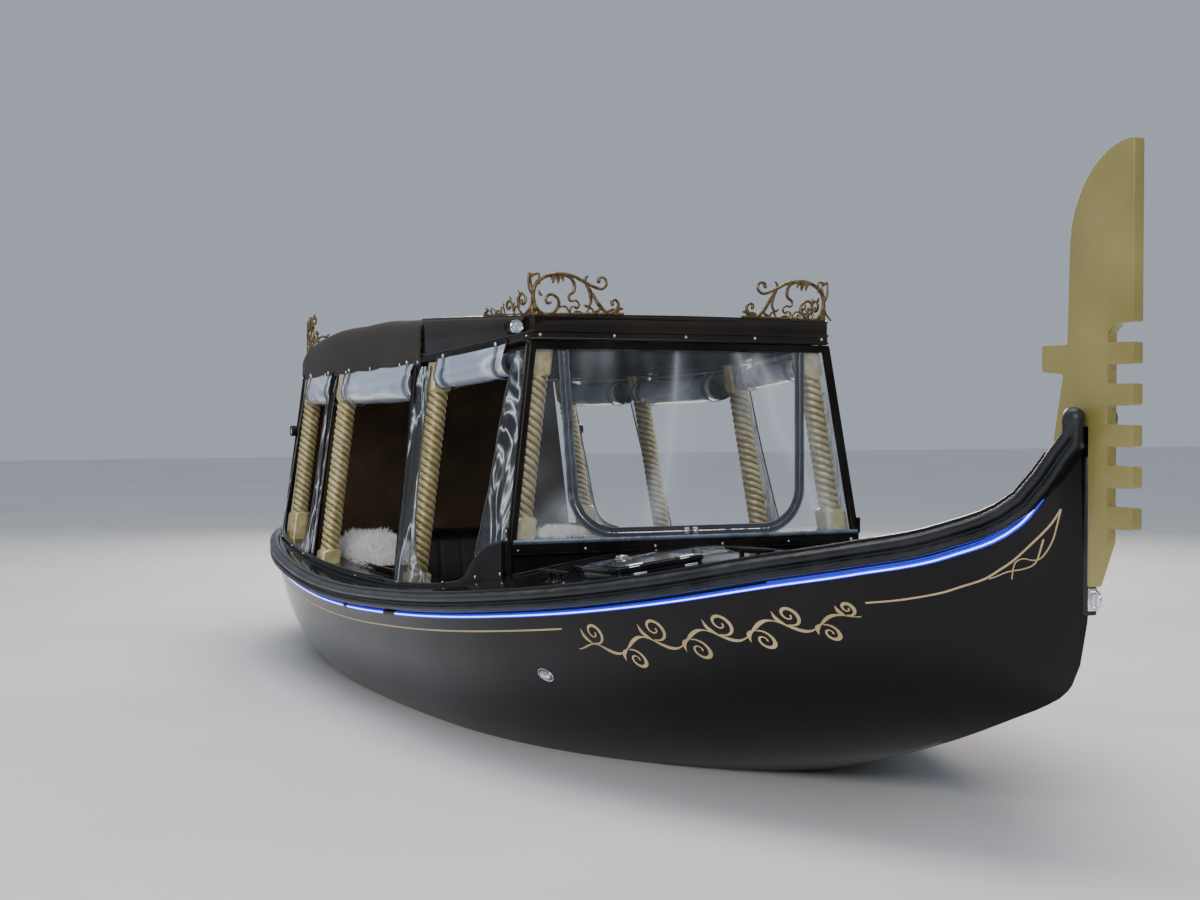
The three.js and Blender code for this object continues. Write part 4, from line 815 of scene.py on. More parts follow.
def rope_recipe():
    """A shaft of twisted strands: a lobed section turned along a straight line."""
    w = Recipe("rope_shaft", Radius=0.037, Groove=0.009, Turns=5.0, Strands=4.0, Steps=110)
    circle = w.node("GeometryNodeCurvePrimitiveCircle", {"Resolution": 44, "Radius": 1.0},
                    mode="RADIUS").outputs["Curve"]
    around = w.node("GeometryNodeSplineParameter").outputs["Factor"]
    phase = w.sum("MULTIPLY", w.sum("MULTIPLY", around, math.pi), w.given("Strands"))
    hollow = w.sum("SUBTRACT", 1.0, w.sum("POWER", w.sum("ABSOLUTE", w.sum("COSINE", phase)), 0.62))
    reach = w.sum("SUBTRACT", w.given("Radius"), w.sum("MULTIPLY", hollow, w.given("Groove")))
    place = w.node("ShaderNodeVectorMath", {0: w.node("GeometryNodeInputPosition").outputs[0],
            "Scale": reach}, operation="SCALE").outputs["Vector"]
    lobed = w.node("GeometryNodeSetPosition", {"Geometry": circle, "Position": place}).outputs["Geometry"]
    lobed = w.node("GeometryNodeStoreNamedAttribute",
                   {"Geometry": lobed, "Name": "groove", "Value": hollow}, data_type="FLOAT",
                   domain="POINT").outputs["Geometry"]
    line = w.node("GeometryNodeMeshToCurve", {"Mesh": w.given("Geometry")}).outputs["Curve"]
    line = w.node("GeometryNodeResampleCurve", {"Curve": line, "Count": w.given("Steps")},
                  mode="COUNT").outputs["Curve"]
    along = w.node("GeometryNodeSplineParameter").outputs["Factor"]
    twist = w.sum("MULTIPLY", along, w.sum("MULTIPLY", w.given("Turns"), 2 * math.pi))
    line = w.node("GeometryNodeSetCurveTilt", {"Curve": line, "Tilt": twist}).outputs["Curve"]
    shaft = w.node("GeometryNodeCurveToMesh",
                   {"Curve": line, "Profile Curve": lobed, "Fill Caps": True}).outputs["Mesh"]
    return w.finish(shaft)


def fur_recipe():
    """Locks of long pile over a backing, each leaning a little its own way."""
    w = Recipe("fur_pile", Density=30000.0, Length=0.024, Width=0.0022, Lean=0.7, Seed=7)
    points = w.node("GeometryNodeDistributePointsOnFaces",
                    {"Mesh": w.given("Geometry"), "Density": w.given("Density"), "Seed": w.given("Seed")})
    cone = {"Vertices": 3, "Side Segments": 3, "Radius Top": 0.0, "Radius Bottom": 1.0, "Depth": 1.0}
    lock = w.node("GeometryNodeMeshCone", cone, fill_type="NONE").outputs["Mesh"]
    height = w.height_of(w.node("GeometryNodeInputPosition").outputs[0])
    bend = w.vector(w.sum("MULTIPLY", w.sum("MULTIPLY", height, height), 5.0))
    lock = w.node("GeometryNodeSetPosition", {"Geometry": lock, "Offset": bend}).outputs["Geometry"]
    size = w.vector(w.given("Width"), w.given("Width"), w.given("Length"))
    limits = {0: (-1.0, -1.0, -0.3), 1: (1.0, 1.0, 1.0), "Seed": w.given("Seed")}
    lean = w.node("FunctionNodeRandomValue", limits, data_type="FLOAT_VECTOR").outputs[0]
    lean = w.node("ShaderNodeVectorMath", {0: lean, "Scale": w.given("Lean")},
                  operation="SCALE").outputs["Vector"]
    way = w.node("ShaderNodeVectorMath", {0: points.outputs["Normal"], 1: lean},
                 operation="ADD").outputs["Vector"]
    return w.finish(w.set_out(points.outputs["Points"], lock, way, Scale=size))


STUDS, STITCHES, ROPE, FUR = stud_recipe(), stitch_recipe(), rope_recipe(), fur_recipe()


def base_points(name, points, facing, joined=False):
    """Bare points in millimetres that carry a facing vector, as a path when joined."""
    data = bpy.data.meshes.new(name)
    edges = [(i, i + 1) for i in range(len(points) - 1)] if joined else []
    data.from_pydata((np.asarray(points, float) * MM).tolist(), edges, [])
    layer = data.attributes.new("facing", "FLOAT_VECTOR", "POINT")
    layer.data.foreach_set("vector", np.broadcast_to(np.asarray(facing, float), (len(points), 3)).ravel())
    return linked(name, data)


def studs(name, points, facing, radius=5.5, height=3.6, body="boat"):
    base, finish = base_points(name + ".points", points, facing), "bright_chrome"
    return fitted(STUDS.run(name, base, finish, Radius=radius * MM, Height=height * MM), finish, body)


def stitches(name, path, facing, pitch=6.0, long=4.2, thick=0.9, across=0.0, finish="black_webbing"):
    base = base_points(name + ".path", path, facing, joined=True)
    piece = STITCHES.run(name, base, finish, Pitch=pitch * MM, Length=long * MM, Thickness=thick * MM,
                         Across=across)
    return fitted(piece, finish)


# Hull
def hull_point(x, t, inset=0.0):
    """Height and half breadth of the skin: t runs from 0 at the keel to 1 at the sheer."""
    beam, bilge_y = at(HULL, x, "beam") - inset, at(HULL, x, "bilge_y") - inset
    keel, bilge_z = at(HULL, x, "keel") + inset, at(HULL, x, "bilge_z") + inset
    y = 2 * t * (1 - t) * bilge_y + t * t * beam
    z = (1 - t) ** 2 * keel + 2 * t * (1 - t) * bilge_z + t * t * at(HULL, x, "sheer")
    return np.maximum(y, 0.4), z


def on_hull(x, z, side, out=0.0):
    """Points on the hull's side at the given stations and heights, moved outwards by `out`."""
    x, z = np.broadcast_arrays(np.asarray(x, float), np.asarray(z, float))
    t = np.linspace(0.35, 1.0, 160)

    def half(station, height):
        y, level = hull_point(station, t)
        return np.interp(height, level, y)

    y = np.array([half(a, b) for a, b in zip(x.ravel(), z.ravel())]).reshape(x.shape)
    fore = np.array([half(a + 4, b) for a, b in zip(x.ravel(), z.ravel())]).reshape(x.shape)
    high = np.array([half(a, b - 4) for a, b in zip(x.ravel(), z.ravel())]).reshape(x.shape)
    normal = unit(np.stack([-(fore - y) / 4, np.ones_like(y), (high - y) / 4], -1))
    point = np.stack([x, y, z], -1) + normal * np.asarray(out, float)[..., None]
    return point * (1, side, 1)


def hull_stations(aft, fore, spacing=45):
    inner = HULL["x"][(HULL["x"] > aft) & (HULL["x"] < fore)]
    return np.unique(np.concatenate((np.arange(aft, fore, spacing), inner, [fore])))


def make_hull():
    t = np.linspace(0, 1, 26)
    loops = []
    for x in hull_stations(-2910, 2722):
        wall = min(HULL_WALL, float(at(HULL, x, "beam")) * 0.5) if -2700 < x < 2450 else 1e4
        (y, z), (inner_y, inner_z) = hull_point(x, t), hull_point(x, t, wall)
        inner_z = inner_z if wall < 1e3 else z
        outer = list(zip(y[::-1], z[::-1])) + list(zip(-y[1:], z[1:]))
        inner = list(zip(-inner_y[::-1], inner_z[::-1])) + list(zip(inner_y[1:], inner_z[1:]))
        loops.append([(x, a, b) for a, b in outer + inner])
    built("hull_shell", "hull_black", loft(loops, folded=True), sharp=50, replaces=["hull"])
    edged(fitted(copy_of("keel_skeg", "skeg_plate"), "hull_black", replaces=["keel_skeg"]), 4)


def hull_ribbon(path, widths, side):
    """A thin band on the hull's side through [x, z] points."""
    path = np.asarray(path, float)
    widths = np.broadcast_to(widths, len(path))[:, None]
    along = unit(np.gradient(path, axis=0))
    across = np.stack([-along[:, 1], along[:, 0]], -1) * widths / 2
    low, high = 0.1, 0.5
    edges = [on_hull(*(path + sign * across).T, side, out)
             for sign, out in ((1, low), (1, high), (-1, high), (-1, low))]
    return loft(np.stack(edges, 1))


STRIPE = {"drop": 99, "wide": 5, "aft": -2700, "fore": 1360}
FORE_STRIPE = [
    (2238, 567), (2316, 580), (2407, 603), (2453, 621), (2506, 643), (2541, 667), (2569, 689), (2601, 722),
    (2632, 758), (2650, 781), (2671, 814),
]
FORE_CURLS = [
    [(2671, 814), (2660, 774), (2650, 742), (2636, 715), (2622, 697), (2608, 693), (2590, 696), (2576, 688),
     (2569, 674), (2562, 646)],
    [(2632, 743), (2622, 710), (2615, 691), (2604, 679), (2583, 670), (2565, 666), (2551, 661), (2534, 652),
     (2516, 644)],
]
# A vine along the topsides between the stripes: each curl's root, its reach and which way it turns
VINE = {"fore": 2215, "aft": 1390, "drop": 158, "swing": 20, "waves": 4.5, "stem": 7}
CURLS = [
    (1450, 1, 44), (1560, -1, 40), (1655, 1, 46), (1760, -1, 42), (1850, 1, 44), (1945, -1, 38),
    (2030, 1, 38), (2115, -1, 32), (2180, 1, 26),
]


def spiral(centre, start, turns, outer, inner, count=40):
    angle = start + np.linspace(0, turns * 2 * math.pi, count)
    radius = np.linspace(outer, inner, count)
    return np.stack([centre[0] + radius * np.cos(angle), centre[1] + radius * np.sin(angle)], -1)


def make_stripes():
    for name, side in SIDES.items():
        x = np.arange(STRIPE["aft"], STRIPE["fore"], 18.0)
        aft = np.stack([x, at(HULL, x, "sheer") - STRIPE["drop"]], -1)
        fore = smooth(FORE_STRIPE, 60)
        bands = [hull_ribbon(aft, STRIPE["wide"], side), hull_ribbon(fore, 4.2, side)]
        for curl in FORE_CURLS:
            bands.append(hull_ribbon(smooth(curl, 40), np.linspace(3.6, 2.2, 40), side))
        built(f"pinstripes_{name}", "stripe_gold", *bands)
        s = np.linspace(0, 1, 150)
        x = VINE["aft"] + (VINE["fore"] - VINE["aft"]) * s
        middle = at(HULL, x, "sheer") - VINE["drop"]
        fade = np.minimum(1, np.minimum(s, 1 - s) * 9)
        stem = np.stack([x, middle + VINE["swing"] * fade * np.sin(2 * math.pi * VINE["waves"] * s)], -1)
        width = 2 + VINE["stem"] * (0.55 + 0.45 * np.sin(4 * math.pi * VINE["waves"] * s)) * fade
        bands = [hull_ribbon(stem, width, side)]
        for root, way, reach in CURLS:
            start = stem[np.argmin(np.abs(x - root))]
            centre = start + np.array([reach * 0.35, way * reach * 0.75])
            curl = spiral(centre, -way * math.pi * 0.62, way * 1.35, reach * 0.72, reach * 0.12)
            width = np.interp(np.linspace(0, 1, 40), (0, 0.25, 0.8, 1), (2.5, 9.5, 3, 5))
            bands.append(hull_ribbon(curl, width, side))
            leaf = smooth([start, start + np.array([-reach * 0.5, way * reach * 0.42]),
                           start + np.array([-reach * 0.62, way * reach * 0.95])], 20)
            bands.append(hull_ribbon(leaf, 1 + 9 * np.sin(np.linspace(0, math.pi, 20)) ** 1.3, side))
        built(f"vine_{name}", "stripe_gold", *bands)


def make_vent():
    """A chrome clam-shell cover low on each bow."""
    place = {"x": 1205, "z": 275, "long": 46, "tall": 28, "proud": 14}
    for name, side in SIDES.items():
        loops = []
        for s in np.linspace(0, 1, 15):
            wide = place["tall"] / 2 * math.sqrt(max(1 - (2 * s - 1) ** 2, 0.002))
            rise = place["proud"] * math.sin(math.pi * min(s * 0.75, 1)) ** 0.8
            angle = np.linspace(0, math.pi, 13)
            x = np.full(13, place["x"] + place["long"] * (s - 0.5))
            loops.append(on_hull(x, place["z"] + wide * np.cos(angle), side, 0.3 + rise * np.sin(angle)))
        turn = full_turn(28)
        rim = on_hull(place["x"] + (place["long"] / 2 + 4) * np.cos(turn),
                      place["z"] + (place["tall"] / 2 + 4) * np.sin(turn), side, 0.8)
        built(f"clam_vent_{name}", "bright_chrome", loft(loops), tube(rim, 2.2, 6, ring=True))
        ends = on_hull(place["x"] + np.array([-27.0, 27.0]), np.full(2, place["z"]), side, 1.5)
        studs(f"vent_screws_{name}", ends, (0, side, 0), radius=2.8, height=1.6)


# Deck
def well_prism():
    """The cabin well's outline at deck level, a little wider than the tub."""
    outline = [(-1730.4, 560.4), (-1002, 655.4), (-39, 610.4), (640.4, 520.4)]
    return made("well", loft([[(x, y, 250), (x, y, 760), (x, -y, 760), (x, -y, 250)] for x, y in outline]))


HATCH = {"aft": 1060, "fore": 1375, "near": 270, "far": 560, "proud": 6, "thick": 16}


def hatch_axes(side):
    """Corner, cross, length and up directions of a hatch's plane, as its hinge has them."""
    aft, fore, near, far = HATCH["aft"], HATCH["fore"], side * HATCH["near"], side * HATCH["far"]
    corner = np.array([fore, near, deck_top(fore, near)])
    across = unit([0, far - near, deck_top(fore, far) - deck_top(fore, near)])
    along = unit([aft - fore, 0, deck_top(aft, near) - deck_top(fore, near)])
    up = unit(np.cross(along, across))
    up = up if up[2] > 0 else -up
    lift = max(np.dot(np.array([x, y, deck_top(x, y)]) - corner, up) for x in (aft, fore)
               for y in (near, far))
    return corner + up * (lift + HATCH["proud"]), across, along, up


def hatch_slab(side, inset, low, high, corner):
    wide, long = HATCH["far"] - HATCH["near"], HATCH["fore"] - HATCH["aft"]
    block = slab((inset, inset, low), (wide - inset, long - inset, high), 2.5, corner)
    return turned(block, *hatch_axes(side))


def make_deck():
    loops = []
    for x in hull_stations(-2905, 2640, 60):
        beam = float(at(HULL, x, "beam"))
        y = beam * np.sin(np.linspace(math.pi / 2, -math.pi / 2, 35))
        top = deck_top(x, y)
        drop = 5 * np.clip((np.abs(y) - beam + 8) / 8, 0, 1) ** 2
        loops.append([(x, a, b) for a, b in zip(y, top - drop)]
                     + [(x, a, b - 13) for a, b in zip(y[::-1], top[::-1])])
    deck = made("deck_plate", loft(loops), sharp=50)
    holes = [made("hole", hatch_slab(side, 30, -120, 60, 14)) for side in SIDES.values()]
    fitted(carved(deck, well_prism(), *holes), "deck_black", replaces=["deck"])
    for name, side in SIDES.items():
        rim = made(f"hatch_frame_{name}", hatch_slab(side, 6, -30, -0.6, 16))
        fitted(carved(rim, made("hole", hatch_slab(side, 30, -60, 30, 14))), "deck_black")
        make_hatch(name, side)


def make_hatch(name, side):
    body, thick = f"hatch_{name}", HATCH["thick"]
    lid = made(f"hatch_lid_{name}", hatch_slab(side, 0, 0, thick - 1, 22),
               hatch_slab(side, 26, thick - 2, thick, 16))
    fitted(lid, "deck_black", body, [f"foredeck_hatch_{name}"])
    origin, *axes = hatch_axes(side)
    across, along, up = axes
    wide, long = HATCH["far"] - HATCH["near"], HATCH["fore"] - HATCH["aft"]
    leaves, screws, straps = [], [], []
    for place in (0.22, 0.78):
        middle = origin + across * wide * place
        leaf = slab((-21, 3, thick), (21, 34, thick + 3), 1.2, 4)
        knuckle = lathe([(-22, 4.5), (-21, 5.5), (21, 5.5), (22, 4.5)], (0, 1, thick + 1), (1, 0, 0), 14)
        leaves += [turned(shape, middle, *axes) for shape in (leaf, knuckle)]
        screws += [middle + across * a + along * b + up * (thick + 3) for a in (-13, 13) for b in (13, 26)]
        fixed = middle - along * 4
        level = np.dot(np.array([fixed[0], fixed[1], deck_top(fixed[0], fixed[1])]) - origin, up)
        straps.append(turned(slab((-21, -30, level - 1), (21, -3, level + 3), 1.2, 4), middle, *axes))
    built(f"hatch_hinges_{name}", "bright_chrome", *leaves, body=body)
    built(f"hinge_straps_{name}", "bright_chrome", *straps)
    studs(f"hinge_screws_{name}", screws, up, radius=3.4, height=1.4, body=body)
    centre = origin + across * wide / 2 + along * (long - 46)
    plate = lathe([(thick - 1, 24), (thick + 2.5, 24), (thick + 4, 21)], (0, 0, 0), (0, 0, 1), 28)
    plate = turned(plate, centre, *axes)
    hoop = [centre + up * (thick + 6) + across * 15 * math.cos(a) + along * 15 * math.sin(a)
            for a in full_turn(28)]
    built(f"hatch_latch_{name}", "bright_chrome", plate, tube(hoop, 3, 8, ring=True), body=body)


def gunwale(fore, aft=-2910, spacing=36):
    """The sheer's whole line from bow to bow round the stern, with outward and upward directions."""
    x = hull_stations(aft, fore, spacing)[::-1]
    half = np.stack([x, -at(HULL, x, "beam"), at(HULL, x, "sheer")], -1)
    turn = np.array([(aft - 12 * math.cos(a), 38 * math.sin(a), 506) for a in np.linspace(-1.2, 1.2, 7)])
    path = np.concatenate((half, turn, half[::-1] * (1, -1, 1)))
    tangent = unit(np.gradient(path, axis=0))
    out = unit(np.stack([-tangent[:, 1], tangent[:, 0], 0 * tangent[:, 0]], -1))
    up = np.cross(tangent, out)
    return path, out, up * np.sign(up[:, 2:])


RAIL = {"fore": 2698, "rake": 0.15}
RAIL_PROFILE = ([(-3, -40), (9, -40)] + arc((17, -29), (17, 10.5), -70, 80, 8) + [(19, -16.5)]
                + arc((15.5, 1), (18.5, 14), -70, 78, 9) + [(13, 16.5), (-3, 16.5)])


def make_rail():
    path, out, up = gunwale(RAIL["fore"])
    profile = np.array(RAIL_PROFILE)
    middle = np.array([14.0, -11.0])
    rounded = middle + unit(profile - middle) * (24, 27)
    loops = [point + a * profile[:, :1] + b * profile[:, 1:] for point, a, b in zip(path, out, up)]
    steps = [(4, 0.3, 1.0), (14, 0.8, 1.06), (24, 1.0, 1.1), (27, 1.0, 1.18), (44, 1.0, 1.16),
             (54, 1.0, 1.05), (60, 1.0, 0.86), (64, 1.0, 0.55), (66, 1.0, 0.2)]

    def cap(point, a, b):
        made_loops = []
        for height, blend, size in steps:
            section = middle + (profile * (1 - blend) + rounded * blend - middle) * size
            base = point + np.array([RAIL["rake"], 0, 1]) * height
            lean = unit(b * (1 - blend * 0.75) + np.array([0.9, 0, 0.1]) * -blend * 0.75)
            made_loops.append(base + a * section[:, :1] + lean * section[:, 1:])
        return made_loops

    whole = cap(path[0], out[0], up[0])[::-1] + loops + cap(path[-1], out[-1], up[-1])
    built("rub_rail_rubber", "rail_rubber", loft(whole), sharp=60, replaces=["rub_rail"])
    lip = gunwale(2660)
    built("deck_lip", "deck_black", swept(lip[0], arc((3, 19), (7, 6), 0, 360, 9)[:-1], lip[1], lip[2]),
          sharp=60)


LIGHT_RUNS = [(355, 2636), (-152, 249), (-2870, -190)]
# Where a dim glowing line near the bow paints the strip's blue reflection under the rail
RAIL_REFLECTION_RUN = (2040, 2632)


def side_line(aft, fore, side, out, up, spacing=24):
    x = hull_stations(aft, fore, spacing)
    z = at(HULL, x, "sheer") + up
    return on_hull(x, z, side, out)


def make_lights():
    for name, side in SIDES.items():
        glow = [tube(side_line(aft, fore, side, 6, -52), 7, 12) for aft, fore in LIGHT_RUNS]
        built(f"blue_strip_{name}", "strip_glow", *glow, replaces=[f"light_strip_{name}"])
        core = [tube(side_line(aft + 4, fore - 4, side, 12.4, -52), 1.7, 8) for aft, fore in LIGHT_RUNS]
        built(f"strip_core_{name}", "strip_core", *core)
        # A glowing line just under the rail: a painted reflection of the strip, no lamp.
        edge = tube(side_line(*RAIL_REFLECTION_RUN, side, 12, -41), 2.0, 8)
        built(f"strip_edge_{name}", "strip_edge", edge)
        sleeves = [side_line(aft, fore, side, 6, -52) for aft, fore in ((246, 358), (-193, -149))]
        built(f"strip_joints_{name}", "trim_black", *[tube(path, 7.6, 12) for path in sleeves])


# Prow board, stem band and bow eye
PROW = {
    "thick": 28, "front": 2884, "root": 2799, "stem": 2737, "tooth_top": 1190, "pitch": 91, "tall": 49,
    "teeth": 5, "top": 1634, "blade_foot": 1232, "crown_level": 1405, "crown_back": 2669, "tip": 641,
    "tip_front": 2752, "chin": 745,
    "back": [(2662, 1190), (2571, 1190), (2571, 1128), (2648, 1122), (2617, 980), (2606, 860)],
    "foot": [(2655, 923), (2698, 983), (2722, 1004)],
}


def round_corners(outline, radius, steps=4):
    """The outline with an arc-like curve at each corner, no longer than its edges allow."""
    outline = np.asarray(outline, float)
    rounded = []
    for before, corner, after in zip(np.roll(outline, 1, 0), outline, np.roll(outline, -1, 0)):
        back, ahead = before - corner, after - corner
        reach = min(radius, 0.42 * np.linalg.norm(back), 0.42 * np.linalg.norm(ahead))
        first, last = corner + unit(back) * reach, corner + unit(ahead) * reach
        for t in np.linspace(0, 1, steps):
            rounded.append((1 - t) ** 2 * first + 2 * t * (1 - t) * corner + t * t * last)
    return np.array(rounded)


def make_prow():
    p = PROW
    comb = []
    for i in range(p["teeth"] - 1, -1, -1):
        top = p["tooth_top"] - i * p["pitch"]
        comb += [(p["root"], top - p["tall"]), (p["front"], top - p["tall"]), (p["front"], top),
                 (p["root"], top)]
    back, rise = p["front"] - p["crown_back"], p["top"] - p["crown_level"]
    crown = [(p["front"] - back * math.sin(a), p["crown_level"] + rise * math.cos(a))
             for a in np.linspace(0, math.pi / 2, 25)[2:]]
    stem = [(p["stem"], 1004), (p["stem"], p["tip"]), (p["tip_front"], p["tip"]), (p["root"], p["chin"])]
    blade = [(p["root"], p["tooth_top"] + 22), (p["root"] + 26, p["blade_foot"]),
             (p["front"], p["blade_foot"]), (p["front"], p["top"])]
    flat = round_corners(p["back"] + p["foot"] + stem + comb + blade + crown, 7)
    half = p["thick"] / 2
    board = made("prow_board", loft([[(x, -half, z) for x, z in flat], [(x, half, z) for x, z in flat]]))
    edged(board, 4, angle=70, segments=4, sharp=35, merge=False)
    fitted(board, "prow_gold", replaces=["ferro"])
    band = slab((2722.4, -16, 575), (2736.6, 16, 936), 4, 5)
    built("stem_strip", "rail_rubber", band, replaces=["stem_band"])
    plate = slab((2737, -13, 586), (2742, 13, 638), 1.5, 3)
    bar = lathe([(-13, 4), (-12, 5), (12, 5), (13, 4)], (2745, 0, 612), (0, 0, 1), 14)
    loop = smooth([(2744, 0, 629), (2754, 0, 631), (2764, 0, 624), (2767, 0, 612), (2764, 0, 600),
                   (2754, 0, 593), (2744, 0, 595)], 30)
    built("bow_ring", "bright_chrome", plate, bar, tube(loop, 3.6, 12), replaces=["bow_eye"])
    studs("bow_ring_screws", [(2742, 0, 632), (2742, 0, 592)], (1, 0, 0), radius=3, height=1.6)


# Columns
ROPE_SIZE = {"radius": 37, "groove": 9, "lead": 97, "strands": 4, "plinth": 84, "cap": 74, "cap_tall": 105}


def block_loops(station, side, low, high, size, turned_low, turned_high, octagon=False):
    """A square block on the column's axis whose shoulders are turned down to the rope."""
    loops = []
    rope, full = ROPE_SIZE["radius"] - 1, size * 0.76
    shoulder = min(24, (high - low) * 0.4)

    def end(level, inward, is_turned):
        """Heights and reaches from this end inwards: a turned shoulder or a small chamfer."""
        if is_turned:
            return [(level + inward * shoulder * s, rope + (full - rope) * math.sin(s * math.pi / 2))
                    for s in (0, 0.2, 0.4, 0.6, 0.8, 1)]
        return [(level, full - 3), (level + inward * 3, full)]

    steps = end(low, 1, turned_low) + end(high, -1, turned_high)[::-1]
    angle = full_turn(64)
    square = size / 2 / np.maximum(np.abs(np.cos(angle)), np.abs(np.sin(angle)))
    square = np.minimum(square, size / 2 * (1.13 if octagon else 1.27))
    for z, reach in steps:
        radius = np.minimum(square, reach)
        axis = column_axis(station, side, z)
        loops.append(axis + np.stack([radius * np.cos(angle), radius * np.sin(angle), 0 * angle], -1))
    return loft(loops)


def make_columns():
    size = ROPE_SIZE
    for name, side in SIDES.items():
        for station, number in enumerate((1, 2, 3, 4)):
            x, half_span, foot, plinth = (rows[station] for rows in STATIONS.values())
            if not foot:
                axis = column_axis(station, side, float(deck_top(x, half_span + 90)))
                reach = size["plinth"] / 2
                foot = min(float(deck_top(axis[0] + a, axis[1] + b)) for a in (-reach, reach)
                           for b in (-reach, reach)) - 4
            top = float(at(ROOF, x - size["cap"] / 2, "bottom")) - 1
            low, high = foot + plinth, top - size["cap_tall"]
            ends = [column_axis(station, side, z) for z in (low - 6, high + 6)]
            shaft = ROPE.run(f"rope_{number}_{name}", base_points("line", ends, (0, 0, 1), True),
                             "rope_gold", Radius=size["radius"] * MM, Groove=size["groove"] * MM,
                             Turns=-(high - low + 12) / size["lead"], Strands=float(size["strands"]))
            fitted(shaft, "rope_gold", replaces=[f"column_{number}_{name}"])
            plinth_block = block_loops(station, side, foot, low, size["plinth"], False, True, number == 4)
            cap_block = block_loops(station, side, high, top, size["cap"], True, False)
            built(f"column_blocks_{number}_{name}", "rope_gold", plinth_block, cap_block)


# Scrollwork: strokes of [outward, upward] points from the roof's corner, with their widths
TALL_WING = {
    "long": 318,
    "strokes": [([(64, 42), (52, 37), (45, 52), (60, 66), (82, 58), (91, 36), (74, 11), (42, 3), (14, 22),
                  (3, 52), (4, 80), (16, 104), (42, 122), (75, 131), (106, 131), (148, 121), (184, 103),
                  (219, 88), (240, 84), (257, 99), (250, 119), (233, 120), (229, 108)], (9, 13, 12, 9)),
                ([(14, 100), (4, 92), (-3, 70), (-12, 88), (-14, 110), (-12, 133), (-3, 128)], (9, 8, 7)),
                ([(2, 70), (9, 96), (22, 118), (20, 133), (6, 130)], (7, 8, 7)),
                ([(106, 129), (134, 116), (145, 93), (141, 74), (127, 64), (125, 53), (131, 45), (150, 46),
                  (161, 34), (154, 22), (146, 26)], (9, 12, 8, 7)),
                ([(184, 102), (198, 71), (202, 42), (191, 27), (182, 32)], (10, 11, 7)),
                ([(188, 97), (212, 61), (237, 26), (265, 5), (289, 14), (300, 34), (289, 49), (276, 45),
                  (278, 35)], (8, 14, 12, 8)), ([(93, 26), (113, 27), (131, 4)], (7, 7)),
                ([(131, 4), (152, 12), (180, 3)], (6, 8, 5)), ([(184, 3), (200, 24), (216, 4)], (6, 8, 5)),
                ([(-28, 4), (-6, 30), (0, 62)], (6, 8, 7))],
    "leaves": [((60, 124), (70, 100), 12), ((72, 128), (88, 98), 14), ((88, 128), (106, 106), 12),
               ((184, 103), (194, 128), 9), ((190, 100), (176, 116), 7), ((237, 28), (214, 12), 10),
               ((251, 6), (308, 4), 9), ((296, 12), (318, 20), 10), ((34, 62), (22, 82), 9),
               ((10, 110), (26, 96), 8), ((131, 6), (140, 30), 7), ((200, 24), (204, 44), 6)],
}
LOW_WING = {
    "long": 342,
    "strokes": [([(0, 60), (8, 36), (28, 14), (57, 4), (86, 18), (98, 42), (88, 64), (64, 71), (47, 56),
                  (54, 39), (72, 37), (76, 47)], (8, 12, 11, 9)),
                ([(1, 55), (-2, 80), (12, 106), (10, 132), (0, 126)], (7, 9, 7)),
                ([(126, 3), (133, 29), (147, 47), (167, 47), (178, 34), (168, 22), (156, 28)], (8, 11, 8)),
                ([(95, 22), (114, 31), (128, 18)], (7, 7)),
                ([(190, 3), (199, 27), (216, 26), (217, 12)], (6, 8, 6)),
                ([(254, 5), (243, 20), (230, 18)], (6, 7, 5)),
                ([(268, 4), (305, 22), (326, 12)], (6, 9, 6)),
                ([(216, 3), (232, 10), (254, 4)], (5, 7, 5))],
    "leaves": [((98, 40), (112, 58), 9), ((88, 62), (100, 82), 8), ((150, 46), (160, 66), 9),
               ((136, 34), (122, 46), 8), ((200, 24), (206, 44), 8), ((262, 8), (272, 30), 8),
               ((286, 14), (292, 34), 9), ((312, 18), (330, 26), 8), ((326, 10), (342, 8), 8),
               ((28, 14), (14, 4), 7)],
}
WING_ENDS = [("front", 688, -1, TALL_WING, LOW_WING), ("aft", -1815, 1, LOW_WING, TALL_WING)]


